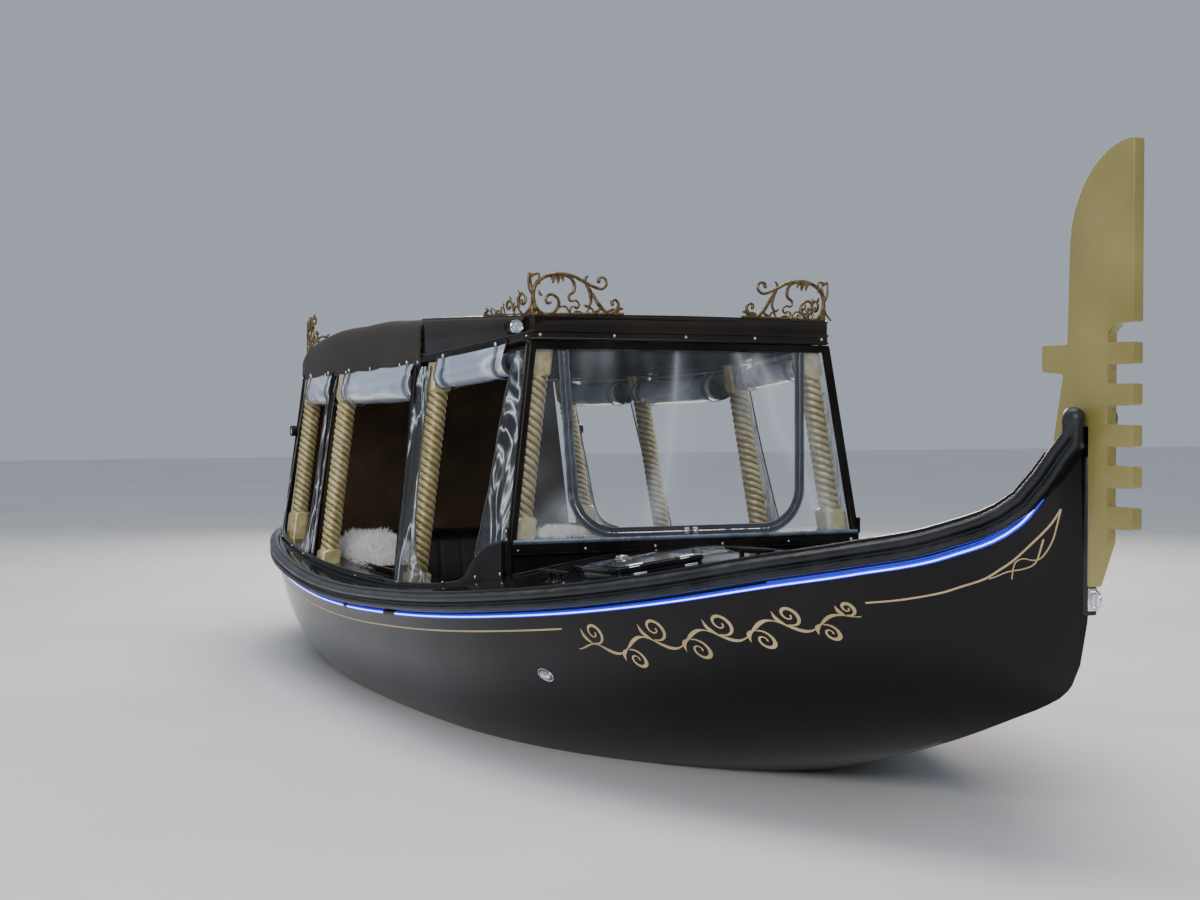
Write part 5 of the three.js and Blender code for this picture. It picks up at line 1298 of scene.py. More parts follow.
def make_scrollwork():
    for end, corner_x, aim, athwart_wing, lengthwise_wing in WING_ENDS:
        for name, side in SIDES.items():
            def edge(x):
                return side * (at(ROOF, x, "half") - 10)

            def athwart(s, z):
                y = edge(corner_x) - side * s
                return np.stack([corner_x + 0 * s, y, roof_top(corner_x, y) + z], -1), np.array([1.0, 0, 0])

            def lengthwise(s, z):
                x = corner_x + aim * s
                return np.stack([x, edge(x), roof_top(x, edge(x)) + z], -1), np.array([0, 1.0, 0])

            shapes = []
            for wing, place in ((athwart_wing, athwart), (lengthwise_wing, lengthwise)):
                s = np.linspace(-4, wing["long"], 30)
                path, flat = place(s, 4 + 0 * s)
                shapes.append(tube(path, 5.0, 8, flat=0.8, up=flat))
                for points, widths in wing["strokes"]:
                    count = max(12, len(points) * 5)
                    line = smooth(points, count)
                    half = np.interp(np.linspace(0, 1, count), np.linspace(0, 1, len(widths)), widths) / 2
                    swell = 1 + 0.5 * np.exp(-((np.arange(count) - count + 2) / 1.6) ** 2)
                    path, flat = place(line[:, 0], line[:, 1])
                    shapes.append(tube(path, np.maximum(half * swell, 2), 10, flat=0.85, up=flat))
                    shapes.append(ball(path[-1], half[-1] * 1.5, 10))
                for root, tip, wide in wing["leaves"]:
                    root, tip = np.array(root, float), np.array(tip, float)
                    bow = (root + tip) / 2 + np.array([-(tip - root)[1], (tip - root)[0]]) * 0.22
                    line = smooth([root, bow, tip], 12)
                    path, flat = place(line[:, 0], line[:, 1])
                    shapes.append(tube(path, 0.6 + wide / 2 * np.sin(np.linspace(0.25, math.pi, 12)) ** 0.8,
                                       8, flat=0.45, up=flat))
            foot_x = corner_x + aim * 6
            foot_y = float(edge(foot_x)) - side * 4
            level = float(roof_top(foot_x, foot_y))
            shapes.append(slab((foot_x - 9, foot_y - 9, level - 2), (foot_x + 9, foot_y + 9, level + 30),
                               2.5))
            built(f"scroll_{end}_{name}", "old_brass", *shapes, sharp=60,
                  replaces=[f"scrollwork_{end}_{name}"])


# Roof
def roof_rim(aft, fore, corner=14):
    """Stations round the roof's front: place, outward direction, heights of the lower and upper edge."""
    x = np.linspace(aft, fore - corner, 26)
    half = at(ROOF, x, "half")
    side = np.stack([x, -half], -1)
    last = side[-1]
    turn = [(fore - corner + corner * math.sin(a), last[1] + corner * (1 - math.cos(a)))
            for a in np.linspace(0, math.pi / 2, 6)[1:]]
    across = [(fore, y) for y in np.linspace(turn[-1][1], 0, 14)[1:]]
    port_half = np.array(list(side) + turn + across)
    whole = np.concatenate((port_half, port_half[:-1][::-1] * (1, -1)))
    tangent = unit(np.gradient(whole, axis=0))
    out = np.stack([tangent[:, 1], -tangent[:, 0], 0 * tangent[:, 0]], -1)
    where = np.minimum(whole[:, 0], 702)
    return whole, out, at(ROOF, where, "bottom"), at(ROOF, where, "top")


TRACK = [
    (-14, 0), (0, 0), (3, 1), (5.5, 3), (6, 6), (4.5, 9), (2, 10.5), (2, 25), (4.5, 26.5), (6, 29.5),
    (5.5, 33), (3, 35), (0.5, 36),
]


def make_roof():
    whole, out, low, high = roof_rim(ROOF_SPLIT + 0.4, ROOF_FORE)
    edge_bead = [(1.0, -8), (2.8, -5), (3.2, -2), (2.0, 1), (-1, 2.4), (-6, 3), (-14, 3)]
    loops = []
    for (x, y), o, b, t in zip(whole, out, low, high):
        ring = [(n, b + u) for n, u in TRACK] + [(0.5, t - 9)]
        ring += [(n, t + u) for n, u in edge_bead] + [(-14, t - 20)]
        loops.append([(x + o[0] * n, y + o[1] * n, z) for n, z in ring])
    boards = loft(loops)
    top = []
    for x in np.linspace(ROOF_SPLIT + 0.4, ROOF_FORE - 8, 24):
        half = float(at(ROOF, x, "half")) - 8
        y = np.linspace(-half, half, 31)
        level = roof_top(x, y)
        top.append([(x, a, b + 1) for a, b in zip(y, level)]
                   + [(x, a, b - 12) for a, b in zip(y[::-1], level[::-1])])
    built("roof_boards", "roof_black", boards, loft(top), sharp=40, replaces=["roof_front"])
    side_x = np.array([-60, 185, 430, 672.0])
    points, facing = [], []
    for side in SIDES.values():
        points += [(x, side * (float(at(ROOF, x, "half")) + 2.5), float(at(ROOF, x, "bottom")) + 18)
                   for x in side_x]
        facing += [(0, side, 0)] * len(side_x)
    points += [(ROOF_FORE + 2.5, y, 1256.8 + 18) for y in np.linspace(-516, 516, 5)]
    facing += [(1, 0, 0)] * 5
    studs("roof_studs", points, facing, radius=5, height=4)
    battens = []
    for x in np.linspace(-60, 600, 4):
        y = (at(ROOF, x, "half") - 22) * np.linspace(-1, 1, 20)
        battens.append(tube(np.stack([x + 0 * y, y, roof_top(x, y) - 20], -1), 8, 8, flat=0.6))
    built("roof_battens", "liner_black", *battens)


def canvas_section(x, sag):
    """The cover's cut across the boat: up one side, over the crown and down the other."""
    top, bottom, half = (float(at(ROOF, x, key)) for key in ("top", "bottom", "half"))
    out = half + 3
    side = [(out + 2, bottom - 4), (out + 4, bottom + 14), (out + 3.5, bottom + (top - bottom) * 0.45),
            (out + 1, bottom + (top - bottom) * 0.78), (out - 9, top - 10),
            (out - 34, top + 1.5 - sag * 0.2)]
    over = [(y, float(roof_top(x, y)) + 2 - sag * (1 - (y / half) ** 2))
            for y in np.linspace(half - 90, 0, 6)]
    right = np.array(side + over)
    return smooth(np.concatenate((right, right[:-1][::-1] * (-1, 1))), 81)


CANVAS = {
    "aft": -1998, "fore": -126, "hoops": (-1708, -1355, -1002, -560), "last_hoop": -1960, "sag": 9,
    "sag_reach": 180, "snaps": (-150, -330, -640, -950, -1260, -1570, -1880), "flat": (1.93, 1.62),
}


def make_canvas():
    rows = []
    stations = np.linspace(CANVAS["fore"], CANVAS["aft"] + 6, 76)
    held_up = np.array([CANVAS["aft"], *CANVAS["hoops"], CANVAS["fore"]])
    random = np.random.default_rng(11)
    wave = [(random.uniform(0, 6.28), random.uniform(8, 22), random.uniform(0.3, 0.9)) for _ in range(6)]
    for x in stations:
        near = np.min(np.abs(held_up - x)) / CANVAS["sag_reach"]
        section = canvas_section(x, CANVAS["sag"] * min(near, 1) ** 1.2)
        k = np.linspace(-1, 1, len(section))
        for phase, count, high in wave:
            section[:, 1] += high * np.sin(phase + count * k + x * 0.011) * (1 - np.abs(k) ** 6)
            flutter = np.sin(phase * 2 + count * 0.6 * k + x * 0.023)
            section[:, 0] += np.sign(k) * high * 0.8 * flutter * np.abs(k) ** 4
        rows.append(np.column_stack((np.full(len(section), x), section)))
    last = rows[-1]
    bottom = float(at(ROOF, CANVAS["aft"], "bottom")) - 4
    for step, back in ((0.12, 4), (0.35, 6), (0.7, 6.5), (1.0, 6)):
        fall = last.copy()
        fall[:, 0] = last[0, 0] - back
        fall[:, 2] = last[:, 2] + (bottom - last[:, 2]) * step
        rows.append(fall)
    rows = np.array(rows)
    cover = made("canvas_roof", loft(rows, capped=False, wrapped=False), sharp=180)
    thicken(cover, 2.0, 1)
    fitted(cover, "roof_canvas", replaces=["canvas_cover"])
    hems = []
    for name, side in SIDES.items():
        hem = rows[:len(stations), 0 if side > 0 else -1]
        out = np.array([0, side, 0])
        band = [hem + out * n + np.array([0, 0, u]) for n, u in ((0.5, -3), (3.2, -3), (4.6, 20), (1.5, 20))]
        hems.append(made(f"canvas_hem_{name}", loft(np.stack(band, 1)), sharp=60))
        fitted(hems[-1], "roof_canvas")
        for level, label in ((1, "low"), (17, "high")):
            line = hem[::2] + out * 5 + np.array([0, 0, level])
            stitches(f"hem_stitches_{label}_{name}", line, out, 7, 5, 1.0)
        snaps = [hem[np.argmin(np.abs(hem[:, 0] - x))] + out * 4.5 + np.array([0, 0, 9])
                 for x in CANVAS["snaps"]]
        studs(f"canvas_snaps_{name}", snaps, out, radius=6.5, height=4)
    hoops = []
    for x in (CANVAS["last_hoop"], *CANVAS["hoops"]):
        section = canvas_section(x, 0)[6:-6]
        inner = np.column_stack((np.full(len(section), x), section * (0.985, 1) - (0, 14)))
        hoops.append(tube(inner, 9, 8))
    built("roof_hoops", "trim_black", *hoops)


def thicken(piece, thickness, offset=0):
    """Gives an open sheet its thickness in millimetres."""
    modifier = piece.modifiers.new("thickness", "SOLIDIFY")
    modifier.thickness, modifier.offset = thickness * MM, offset
    apply_modifiers(piece)
    piece.data.shade_smooth()


def laid_flat(rows, sheet):
    """A sheet's width along its rows and length across them in metres, and the area of one face."""
    wide, long = (float(gaps(rows, axis).sum(axis).max()) * MM for axis in (1, 0))
    area = sum(face.area for face in sheet.data.polygons) / 2
    return (wide, long), min(area, wide * long)


# Windscreen
def on_screen(y, z, out=0.0):
    """Points on the windscreen's leaning plane, moved ahead of it by `out`."""
    t = (np.asarray(z, float) - SILL["z"]) / (HEAD["z"] - SILL["z"])
    x = SILL["x"] + (HEAD["x"] - SILL["x"]) * t + np.asarray(out, float)
    return np.stack(np.broadcast_arrays(x, np.asarray(y, float), np.asarray(z, float)), -1)


def ripple(a, b, seed, reach, finest=5, tilt=0.5):
    """Smooth uneven waves over a sheet, from a fixed seed."""
    random = np.random.default_rng(seed)
    total = 0 * a
    for step in range(1, finest + 1):
        turn = tilt + random.uniform(-0.5, 0.5)
        along = a * math.cos(turn) + b * math.sin(turn)
        total = total + np.sin(along * step * 1.9 + random.uniform(0, 6.28)) / step
    return total * reach / 1.6


WINDOW = {"half": 416, "top_half": 434, "low": 641, "high": 1227, "corner": 145, "tape": 33}
SCREEN = {
    "flat": (1.232, 0.60), "area": 0.69,
    "folds": ((-500, 700, 1.4, 4.0), (-470, 980, 0.7, 3.0), (500, 740, -1.3, 3.4)),
}


def window_line():
    w = WINDOW
    left = [(-w["top_half"], w["high"])]
    left += [(-w["half"] + w["corner"] * (1 - math.cos(a)), w["low"] + w["corner"] * (1 - math.sin(a)))
             for a in np.linspace(0, math.pi / 2, 14)]
    whole = np.array(left + [(-y, z) for y, z in left[::-1]])
    return evenly(whole, 190)


def make_windscreen():
    foot, top = SILL["z"] + 1, HEAD["z"] - 25
    rows = []
    for z in np.linspace(foot, top, 64):
        half = SILL["half"] + (HEAD["half"] - SILL["half"]) * (z - SILL["z"]) / (HEAD["z"] - SILL["z"]) - 14
        y = np.linspace(-half, half, 120)
        edge = np.minimum(1, np.minimum(half - np.abs(y), np.minimum(z - foot, top - z)) / 60)
        wave = ripple(y / 240, np.full_like(y, z) / 240, 5, 2.4, 6) * edge
        for fold_y, fold_z, slope, reach in SCREEN["folds"]:
            away = ((y - fold_y) - (z - fold_z) / slope) / 22
            wave = wave + reach * np.exp(-away ** 2 - ((z - fold_z) / 130) ** 2) * edge
        rows.append(on_screen(y, z, wave))
    sheet = made("windscreen_vinyl", loft(rows, capped=False, wrapped=False), sharp=180)
    thicken(sheet, 1.0)
    fitted(sheet, "window_vinyl", replaces=["windscreen"])
    line = window_line()
    along = unit(np.gradient(line, axis=0))
    across = np.stack([-along[:, 1], along[:, 0]], -1)

    def offset(distance, out):
        return on_screen(*(line + across * distance).T, out)

    half = WINDOW["tape"] / 2
    crumple = 0.5 + 1.2 * (line[:, 0] < -380)
    wobble = crumple * (np.sin(np.arange(len(line)) * 0.9) + 0.8 * np.sin(np.arange(len(line)) * 0.37))
    tape = [offset(-half, 2), offset(-half, 4.4 + wobble), offset(half, 4.4 + wobble), offset(half, 2)]
    binding = built("window_tape", "window_webbing", loft(np.stack(tape, 1)), replaces=["window_binding"])
    # The piping's pale blue-grey along both edges of the tape is a painted highlight.
    piping = [tube(offset(d, 4.5 + wobble), 1.9, 10) for d in (-half, half)]
    pipes = built("window_piping", "zip_webbing", *piping)
    facing = np.array([1.0, 0, 0.08])
    teeth = stitches("window_zip", offset(0, 6.4 + wobble), facing, pitch=4.2, long=6.5, thick=2.0,
                     across=1.0, finish="bright_chrome")
    seams = [stitches(f"window_stitches_{i}", offset(d, 5.2 + wobble), facing, 6, 4, 0.9)
             for i, d in enumerate((-7.5, 7.5))]
    clasp, upright = [], ((0, 1, 0), (0, 0, 1), (1, 0, 0))
    for y in (-16, 16):
        plate, knob = on_screen(y, WINDOW["low"], 6.5), on_screen(y, WINDOW["low"], 8)
        clasp.append(turned(slab((-9, -13, 0), (9, 13, 3), 1.2, 5), plate, *upright))
        clasp.append(lathe([(0, 6), (5, 6), (7, 5), (8, 3)], knob, (1, 0, 0), 18))
        clasp.append(turned(slab((-3, -11, 7), (3, 11, 11), 1.4, 2.5), knob, *upright))
    built("window_clasp", "bright_chrome", *clasp)


def make_sill():
    level, front, half = SILL["z"], SILL["x"] + 14, 628
    strip = tube([(front + 1, y, level - 6) for y in np.linspace(-half, half, 30)], 8, 14)
    built("sill_light_strip", "sill_strip", strip)
    band = slab((front + 0.4, -half, level - 46), (front + 3.4, half, level - 13), 1.2, 1.4)
    ribs = [tube([(front + 3.6, y, level - drop) for y in (1 - half, half - 1)], 1.8, 8) for drop in (15, 44)]
    built("sill_band", "trim_black", band, *ribs)
    studs("sill_studs", [(front + 3.4, y, level - 31) for y in (-612, -382, -135, 110, 360, 604)],
          (1, 0, 0), 5, 3.6)
    parts, screws = [], {}
    foot = float(deck_top(742, 634))
    for name, side in SIDES.items():
        parts.append(slab((730, side * 634 - 5, foot - 3), (752, side * 634 + 5, level), 2, 3))
        parts.append(slab((729, side * 640 - 4, level - 12), (753, side * 640 + 4, level + 42), 2, 4))
        screws[name] = [(741, side * 644.5, level + 4), (738, side * 644.5, level + 30)]
    built("sill_brackets", "trim_black", *parts)
    for name, side in SIDES.items():
        studs(f"bracket_screws_{name}", screws[name], (0, side, 0), 4.4, 2.6)
    across = np.linspace(-640, 640, 60)
    foot = np.stack([0 * across + 741, across, deck_top(741, across) + 3], -1)
    built("wall_foot_bead", "rail_rubber", tube(foot, 4.5, 10))


# Cabin sides
COAMING_HALF = 7
POSTS = {2: (-58, -170), 3: (-1020, -1135), 4: (-1729, -1779)}


def post_x(number, z):
    foot, head = POSTS[number]
    return foot + (head - foot) * (np.asarray(z, float) - 440) / 750


def front_post(z):
    t = (z - SILL["z"]) / (HEAD["z"] - SILL["z"])
    return SILL["x"] + (HEAD["x"] - SILL["x"]) * t, SILL["half"] + (HEAD["half"] - SILL["half"]) * t


def side_skin(x, z, side, out=0.0):
    """Points on the cabin's leaning side, between the coaming and the roof's edge."""
    x, z = np.broadcast_arrays(np.asarray(x, float), np.asarray(z, float))
    low, high = at(COAMING, x, "top"), at(ROOF, x, "bottom")
    lean = np.clip((z - low) / (high - low), -0.2, 1.1)
    y = at(COAMING, x, "y") * (1 - lean) + (at(ROOF, x, "half") + 2) * lean
    post, post_y = front_post(z)
    near = np.clip((x - 540) / np.maximum(post - 540, 1), 0, 1)
    y = y * (1 - near) + (post_y + 9) * near + np.asarray(out, float)
    return np.stack([x, side * y, z], -1)


COAMING_STUDS = [
    (-1640, 470), (-1350, 440), (-1120, 425), (-430, 404), (-4, 394), (343, 430), (560, 500), (712, 520),
]
GUSSET = [(1188, -70), (1188, 48), (1150, 20), (1090, 12), (1090, -12), (1150, -24)]


def make_side_frames():
    for name, side in SIDES.items():
        loops = []
        for x in np.linspace(-1790, 722, 120):
            y, top = float(at(COAMING, x, "y")), float(at(COAMING, x, "top"))
            low = float(deck_top(x, y + COAMING_HALF)) - 8
            section = [(-COAMING_HALF, low), (-COAMING_HALF, top - 5)]
            section += arc((-2, top - 5), (5, 5), 180, 90, 3)[1:]
            section += arc((2, top - 5), (5, 5), 90, 0, 3) + [(COAMING_HALF, low)]
            loops.append([(x, side * (y + n), z) for n, z in section])
        built(f"coaming_{name}", "trim_black", loft(loops), sharp=50, replaces=[f"side_frame_{name}"])
        x = np.linspace(-1786, 716, 110)
        y, top = at(COAMING, x, "y"), at(COAMING, x, "top")
        beads = [tube(np.stack([x, side * (y + 1), top + 1], -1), 5, 10)]
        for up in (12, 20, 28):
            run = np.linspace(-985, -135, 40)
            edge = at(COAMING, run, "y") + 8
            beads.append(tube(np.stack([run, side * edge, deck_top(run, edge) + up], -1), 2.4, 8))
        built(f"coaming_beads_{name}", "rail_rubber", *beads)
        points = []
        for x, z in COAMING_STUDS:
            z = max(z, float(deck_top(x, at(COAMING, x, "y"))) + 14)
            points.append((x, side * (float(at(COAMING, x, "y")) + 7), z))
        studs(f"coaming_studs_{name}", points, (0, side, 0), 5.5, 4)
        bars = []
        for number in POSTS:
            low, high = at(COAMING, post_x(number, 440), "top") - 14, 1184
            z = np.linspace(float(low), high, 12)
            line = side_skin(post_x(number, z), z, side, np.linspace(-13, 2, 12))
            bars.append(tube(line, 13, 12, flat=0.75, up=(1, 0, 0)))
            gusset = [side_skin(post_x(number, level) + reach, level, side, 5) for level, reach in GUSSET]
            inward = np.array([0, -side * 6, 0])
            bars.append(loft([gusset, [point + inward for point in gusset]]))
        rows = np.linspace(-1900, 668, 60)
        outer, level = at(ROOF, rows, "half") - 17, at(ROOF, rows, "bottom")
        header = [np.stack([rows, side * (outer - n), level + u], -1)
                  for n, u in ((0, 2), (0, 30), (4, 34), (56, 34), (60, 30), (60, 6), (56, 2))]
        bars.append(loft(np.stack(header, 1)))
        z = np.linspace(SILL["z"] - 8, HEAD["z"] - 8, 10)
        post, post_y = front_post(z)
        bars.append(tube(np.stack([post, side * (post_y + 6), z], -1), 11, 12, flat=1.25, up=(1, 0, 0)))
        built(f"side_posts_{name}", "trim_black", *bars)
        make_rear_lamp(name, side)


def make_rear_lamp(name, side):
    spot, out = side_skin(-1744, 940, side, 4), (0, side, 0)
    shell = lathe([(0, 12), (3, 22), (26, 24), (30, 22), (31, 18), (27, 17)], spot, out, 26)
    built(f"rear_lamp_{name}", "trim_black", shell, lathe([(-8, 8), (2, 8)], spot, out, 14))
    built(f"rear_lamp_lens_{name}", "lamp_lens", lathe([(25, 17.5), (28, 15), (30, 9), (30.6, 2)], spot, out))


def strip_between(name, side, outer, inner, seed, reach, rows=90, columns=14, hem=True):
    """A clear sheet on the cabin's side between two edges, each a list of [x, z]."""
    outer, inner = smooth(outer, rows), smooth(inner, rows)
    share = np.linspace(0, 1, columns)[None, :, None]
    flat = outer[:, None] * (1 - share) + inner[:, None] * share
    down = np.linspace(0.02, 0.98, rows)[:, None]
    hold = np.sin(share[..., 0] * math.pi * 0.82) * np.sin(down * math.pi) ** 0.4
    wave = ripple(flat[..., 0] / 46, flat[..., 1] / 105, seed, reach, 4, 0.35) * hold
    points = side_skin(flat[..., 0], flat[..., 1], side, 2 + wave)
    sheet = made(name, loft(points, capped=False, wrapped=False), sharp=180)
    thicken(sheet, 1.0)
    fitted(sheet, "side_vinyl")
    if hem:
        line = points[:, -1] + np.array([0, side * 0.5, 0])
        built(f"{name}_binding", "black_webbing",
                            tube(line, 4.2, 10, flat=0.45, up=(0, side, 0)))
    flat, area = laid_flat(points, sheet)


def coaming_edge(*stations):
    return [(x, float(at(COAMING, x, "top")) + 3) for x in stations]


def post_edge(number, *levels, aside=9):
    return [(post_x(number, z) + aside, z) for z in levels]


BAY_ONE = [(244, 462), (150, 500), (95, 551), (57, 640), (8, 850), (-18, 1020), (-35, 1190)]
FRONT_EDGE = [
    (546, 570), (551, 650), (557, 734), (566, 878), (571, 996), (580, 1080), (592, 1150), (600, 1225),
]


def make_side_sheets():
    post = [(722, 630)] + [(front_post(z)[0] - 12, z) for z in (680, 760, 880, 1000, 1120, 1235)]
    levels = (462, 600, 900, 1180)
    # Each strip's outer and inner edge, the seed and height of its ripples, then its rows, columns and hem
    strips = {
        "bay_one_aft": (
            coaming_edge(240, 120, 0, -40) + post_edge(2, 470, 560, 700, 900, 1080, 1190, aside=4),
            BAY_ONE, 21, 5),
        "bay_one_fore": (smooth(post, 60), FRONT_EDGE, 33, 9, 110, 26),
        "bay_one_gusset": (coaming_edge(722, 690, 650, 610, 575, 548),
                           [(722, 640), (690, 636), (650, 626), (610, 612), (575, 596), (548, 580)],
                           35, 2, 40, 6, False),
        "bay_two_aft": (post_edge(3, *levels), post_edge(3, *levels, aside=44), 43, 3, 90, 8),
        "bay_three_fore": (
            coaming_edge(-1290, -1200, -1120, -1060) + post_edge(3, 500, 620, 800, 1000, 1178, aside=-9),
            [(-1290, 476), (-1205, 484), (-1150, 508), (-1124, 560)]
            + post_edge(3, 650, 820, 1000, 1178, aside=-74), 47, 4),
        "bay_three_aft": (
            coaming_edge(-1500, -1600, -1680, -1720) + post_edge(4, 540, 650, 820, 1000, 1172),
            [(-1500, 492), (-1600, 506), (-1660, 540), (-1684, 600)]
            + post_edge(4, 680, 830, 1000, 1172, aside=58), 53, 4),
    }
    for name, side in SIDES.items():
        for strip, shape in strips.items():
            strip_between(f"{strip}_{name}", side, *shape)


ROLLS = [(20, 540, 43), (-960, -190, 56), (-1640, -1150, 52)]
CURTAIN_LONG = 690
ROLL_DROP = 14


def roll_section(radius):
    """The rolled curtain's cut, from its fastening down and round into the roll: [outward, upward]."""
    hang = ROLL_DROP + radius
    lead = [(radius / 2 + 6, hang + 18), (radius / 2 + 8, hang), (radius * 0.86, radius * 0.72)]
    angle, step, most = math.radians(34), 0.26, 130
    points, length = [], gaps(lead).sum()
    while length < CURTAIN_LONG and len(points) < most:
        turns = len(points) * step / (2 * math.pi)
        reach = radius * max(1 - 0.11 * turns, 0.2)
        points.append((reach * math.cos(angle), reach * math.sin(angle)))
        if len(points) > 1:
            length += math.dist(points[-1], points[-2])
        angle -= step
    return np.array(lead + points)


def make_rolls():
    for name, side in SIDES.items():
        for number, (aft, fore, radius) in enumerate(ROLLS, 1):
            section = roll_section(radius)
            x = np.linspace(aft, fore, 40)
            s = (x - aft) / (fore - aft)
            random = np.random.default_rng(60 + number)
            slow, fast = random.uniform(0, 6), random.uniform(0, 6)
            swell = 1 + 0.03 * np.sin(s * 5 + slow) + 0.008 * np.sin(s * 17 + fast)
            straps = [aft + 60, fore - 60]
            for strap in straps:
                swell = swell - 0.09 * np.exp(-((x - strap) / 24) ** 2)
            low, half = at(ROOF, x, "bottom"), at(ROOF, x, "half")
            sag = -5 * np.sin(s * math.pi)
            loops = []
            for i in range(len(x)):
                hang = np.clip((section[:, 1] - radius * 0.7) / (ROLL_DROP + radius * 0.4), 0, 1)
                size = (swell[i] * (1 - hang) + hang)[:, None]
                n, u = (section * size).T
                loops.append(np.stack([0 * n + x[i], side * (half[i] - radius / 2 + n),
                                       low[i] - ROLL_DROP - radius + u + sag[i] * (1 - hang)], -1))
            loops = np.array(loops)
            roll = made(f"rolled_window_{number}_{name}", loft(loops, capped=False, wrapped=False), sharp=180)
            thicken(roll, 0.9)
            fitted(roll, "rolled_vinyl", replaces=[f"rolled_curtains_{name}"] if number == 1 else [])
            edges = built(f"roll_binding_{number}_{name}", "black_webbing",
                          *[tube(loops[i], 2.0, 6) for i in (0, -1)])
            bands, snaps = [], []
            for strap in straps:
                i = int(np.argmin(np.abs(x - strap)))
                around = [(radius * 0.5 + 9, ROLL_DROP + radius + 14),
                          (radius * 0.5 + 11, ROLL_DROP + radius)]
                around += [((radius + 2.5) * math.cos(a), (radius + 2.5) * math.sin(a))
                           for a in np.radians(np.linspace(38, -250, 40))]
                line = smooth(around, 60)
                centre = np.array([x[i], 0, low[i] - ROLL_DROP - radius + sag[i] * 0.8])
                path = np.stack([0 * line[:, 0], side * (half[i] - radius / 2 + line[:, 0]), line[:, 1]],
                                -1) + centre
                inward = np.stack([0 * line[:, 0], -side * line[:, 0], -line[:, 1]], -1)
                inward = unit(inward) * 1.4
                wide = np.array([11.0, 0, 0])
                section = [path - wide, path + wide, path + wide - inward, path - wide - inward]
                bands.append(loft(np.stack(section, 1)))
                snaps.append(path[0] + np.array([0, side * 2.4, -2]))
            ties = built(f"roll_straps_{number}_{name}", "zip_webbing", *bands)
            buttons = studs(f"roll_snaps_{number}_{name}", snaps, (0, side, 0), 7.5, 5)
        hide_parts(f"clear_panel_{name}")
        x = np.linspace(-1700, 540, 60)
        half, low = at(ROOF, x, "half"), at(ROOF, x, "bottom")
        rail = [np.stack([x, side * (half + n), low + u], -1)
                for n, u in ((3, 2), (6, 1), (8, 3), (8, 20), (6, 22), (3, 21))]
        built(f"curtain_rail_{name}", "trim_black", loft(np.stack(rail, 1)))


def stuffed(node, name, finish, channels, cap=9.0, voxel=8.0, shrink=5.0):
    """A padded piece from its solid: remeshed, swollen by pressure with its seams held, and grooved."""
    pad = edged(copy_of(node, name), 14, angle=25)
    even = pad.modifiers.new("even", "REMESH")
    even.mode, even.voxel_size = "VOXEL", voxel * MM
    apply_modifiers(pad)
    count = len(pad.data.vertices)
    place, normal = np.empty(count * 3), np.empty(count * 3)
    pad.data.vertices.foreach_get("co", place)
    pad.data.vertices.foreach_get("normal", normal)
    place, normal = place.reshape(-1, 3), normal.reshape(-1, 3)
    start = place - normal * shrink * MM
    low, high = place.min(0), place.max(0)
    moved_to = start + normal * shrink * 0.9 * MM
    pad.data.vertices.foreach_set("co", start.ravel())
    rim = np.minimum(place - low, high - place)
    seam = np.sort(rim, axis=1)[:, 1] < voxel * 2.2 * MM
    resting = place[:, 2] < low[2] + 6 * MM
    swollen = swell(pad, np.nonzero(seam | resting)[0])
    shift = swollen - start
    far = np.linalg.norm(shift, axis=1, keepdims=True)
    moved_to = start + shift * np.minimum(1, (cap + shrink) * MM / np.maximum(far, 1e-9))
    axis, spacing, depth = channels
    middle = (low[axis] + high[axis]) / 2
    steps = np.arange(-12, 13) * spacing * MM + spacing * MM / 2
    inside = [middle + step for step in steps if low[axis] + 0.03 < middle + step < high[axis] - 0.03]
    groove = sum(np.exp(-((moved_to[:, axis] - line) / (7 * MM)) ** 2) for line in inside)
    moved_to = moved_to - normal * (groove * (1 - np.abs(normal[:, axis])))[:, None] * depth * MM
    pad.data.vertices.foreach_set("co", moved_to.ravel())
    pad.data.update()
    pad.data.shade_smooth()
    fitted(pad, finish, replaces=[node])


SWELL_STEPS = 20


def swell(pad, held):
    """Blows the pad up under pressure and returns where its points have gone."""
    group = pad.vertex_groups.new(name="held")
    group.add([int(i) for i in held], 1.0, "REPLACE")
    cloth = pad.modifiers.new("stuffing", "CLOTH")
    cloth.settings.use_pressure = True
    cloth.settings.uniform_pressure_force = 4
    cloth.settings.vertex_group_mass = "held"
    cloth.settings.effector_weights.gravity = 0
    cloth.settings.quality = 4
    cloth.point_cache.frame_start, cloth.point_cache.frame_end = 1, SWELL_STEPS
    scene = bpy.context.scene
    for step in range(1, SWELL_STEPS + 1):
        scene.frame_set(step)
    result = evaluated(pad)
    points = np.empty(len(result.data.vertices) * 3)
    result.data.vertices.foreach_get("co", points)
    pad.modifiers.clear()
    scene.frame_set(1)
    return points.reshape(-1, 3)


def piping(name, low, high, level, inset=1.5, corner=26):
    half_x, half_y = (high[0] - low[0]) / 2 - inset, (high[1] - low[1]) / 2 - inset
    loop = rounded_loop(half_x, half_y, corner, 6)
    middle = ((low[0] + high[0]) / 2, (low[1] + high[1]) / 2)
    path = [(middle[0] + x, middle[1] + y, level) for x, y in loop]
    built(name, "black_leather", tube(path, 3.2, 8, ring=True))


SEATS = {
    "seat_cushion_aft": ((-1604, -300, 20.4), (-1180, 300, 118)),
    "seat_cushion_front": ((110, -330, 20.4), (524, 330, 118)),
}


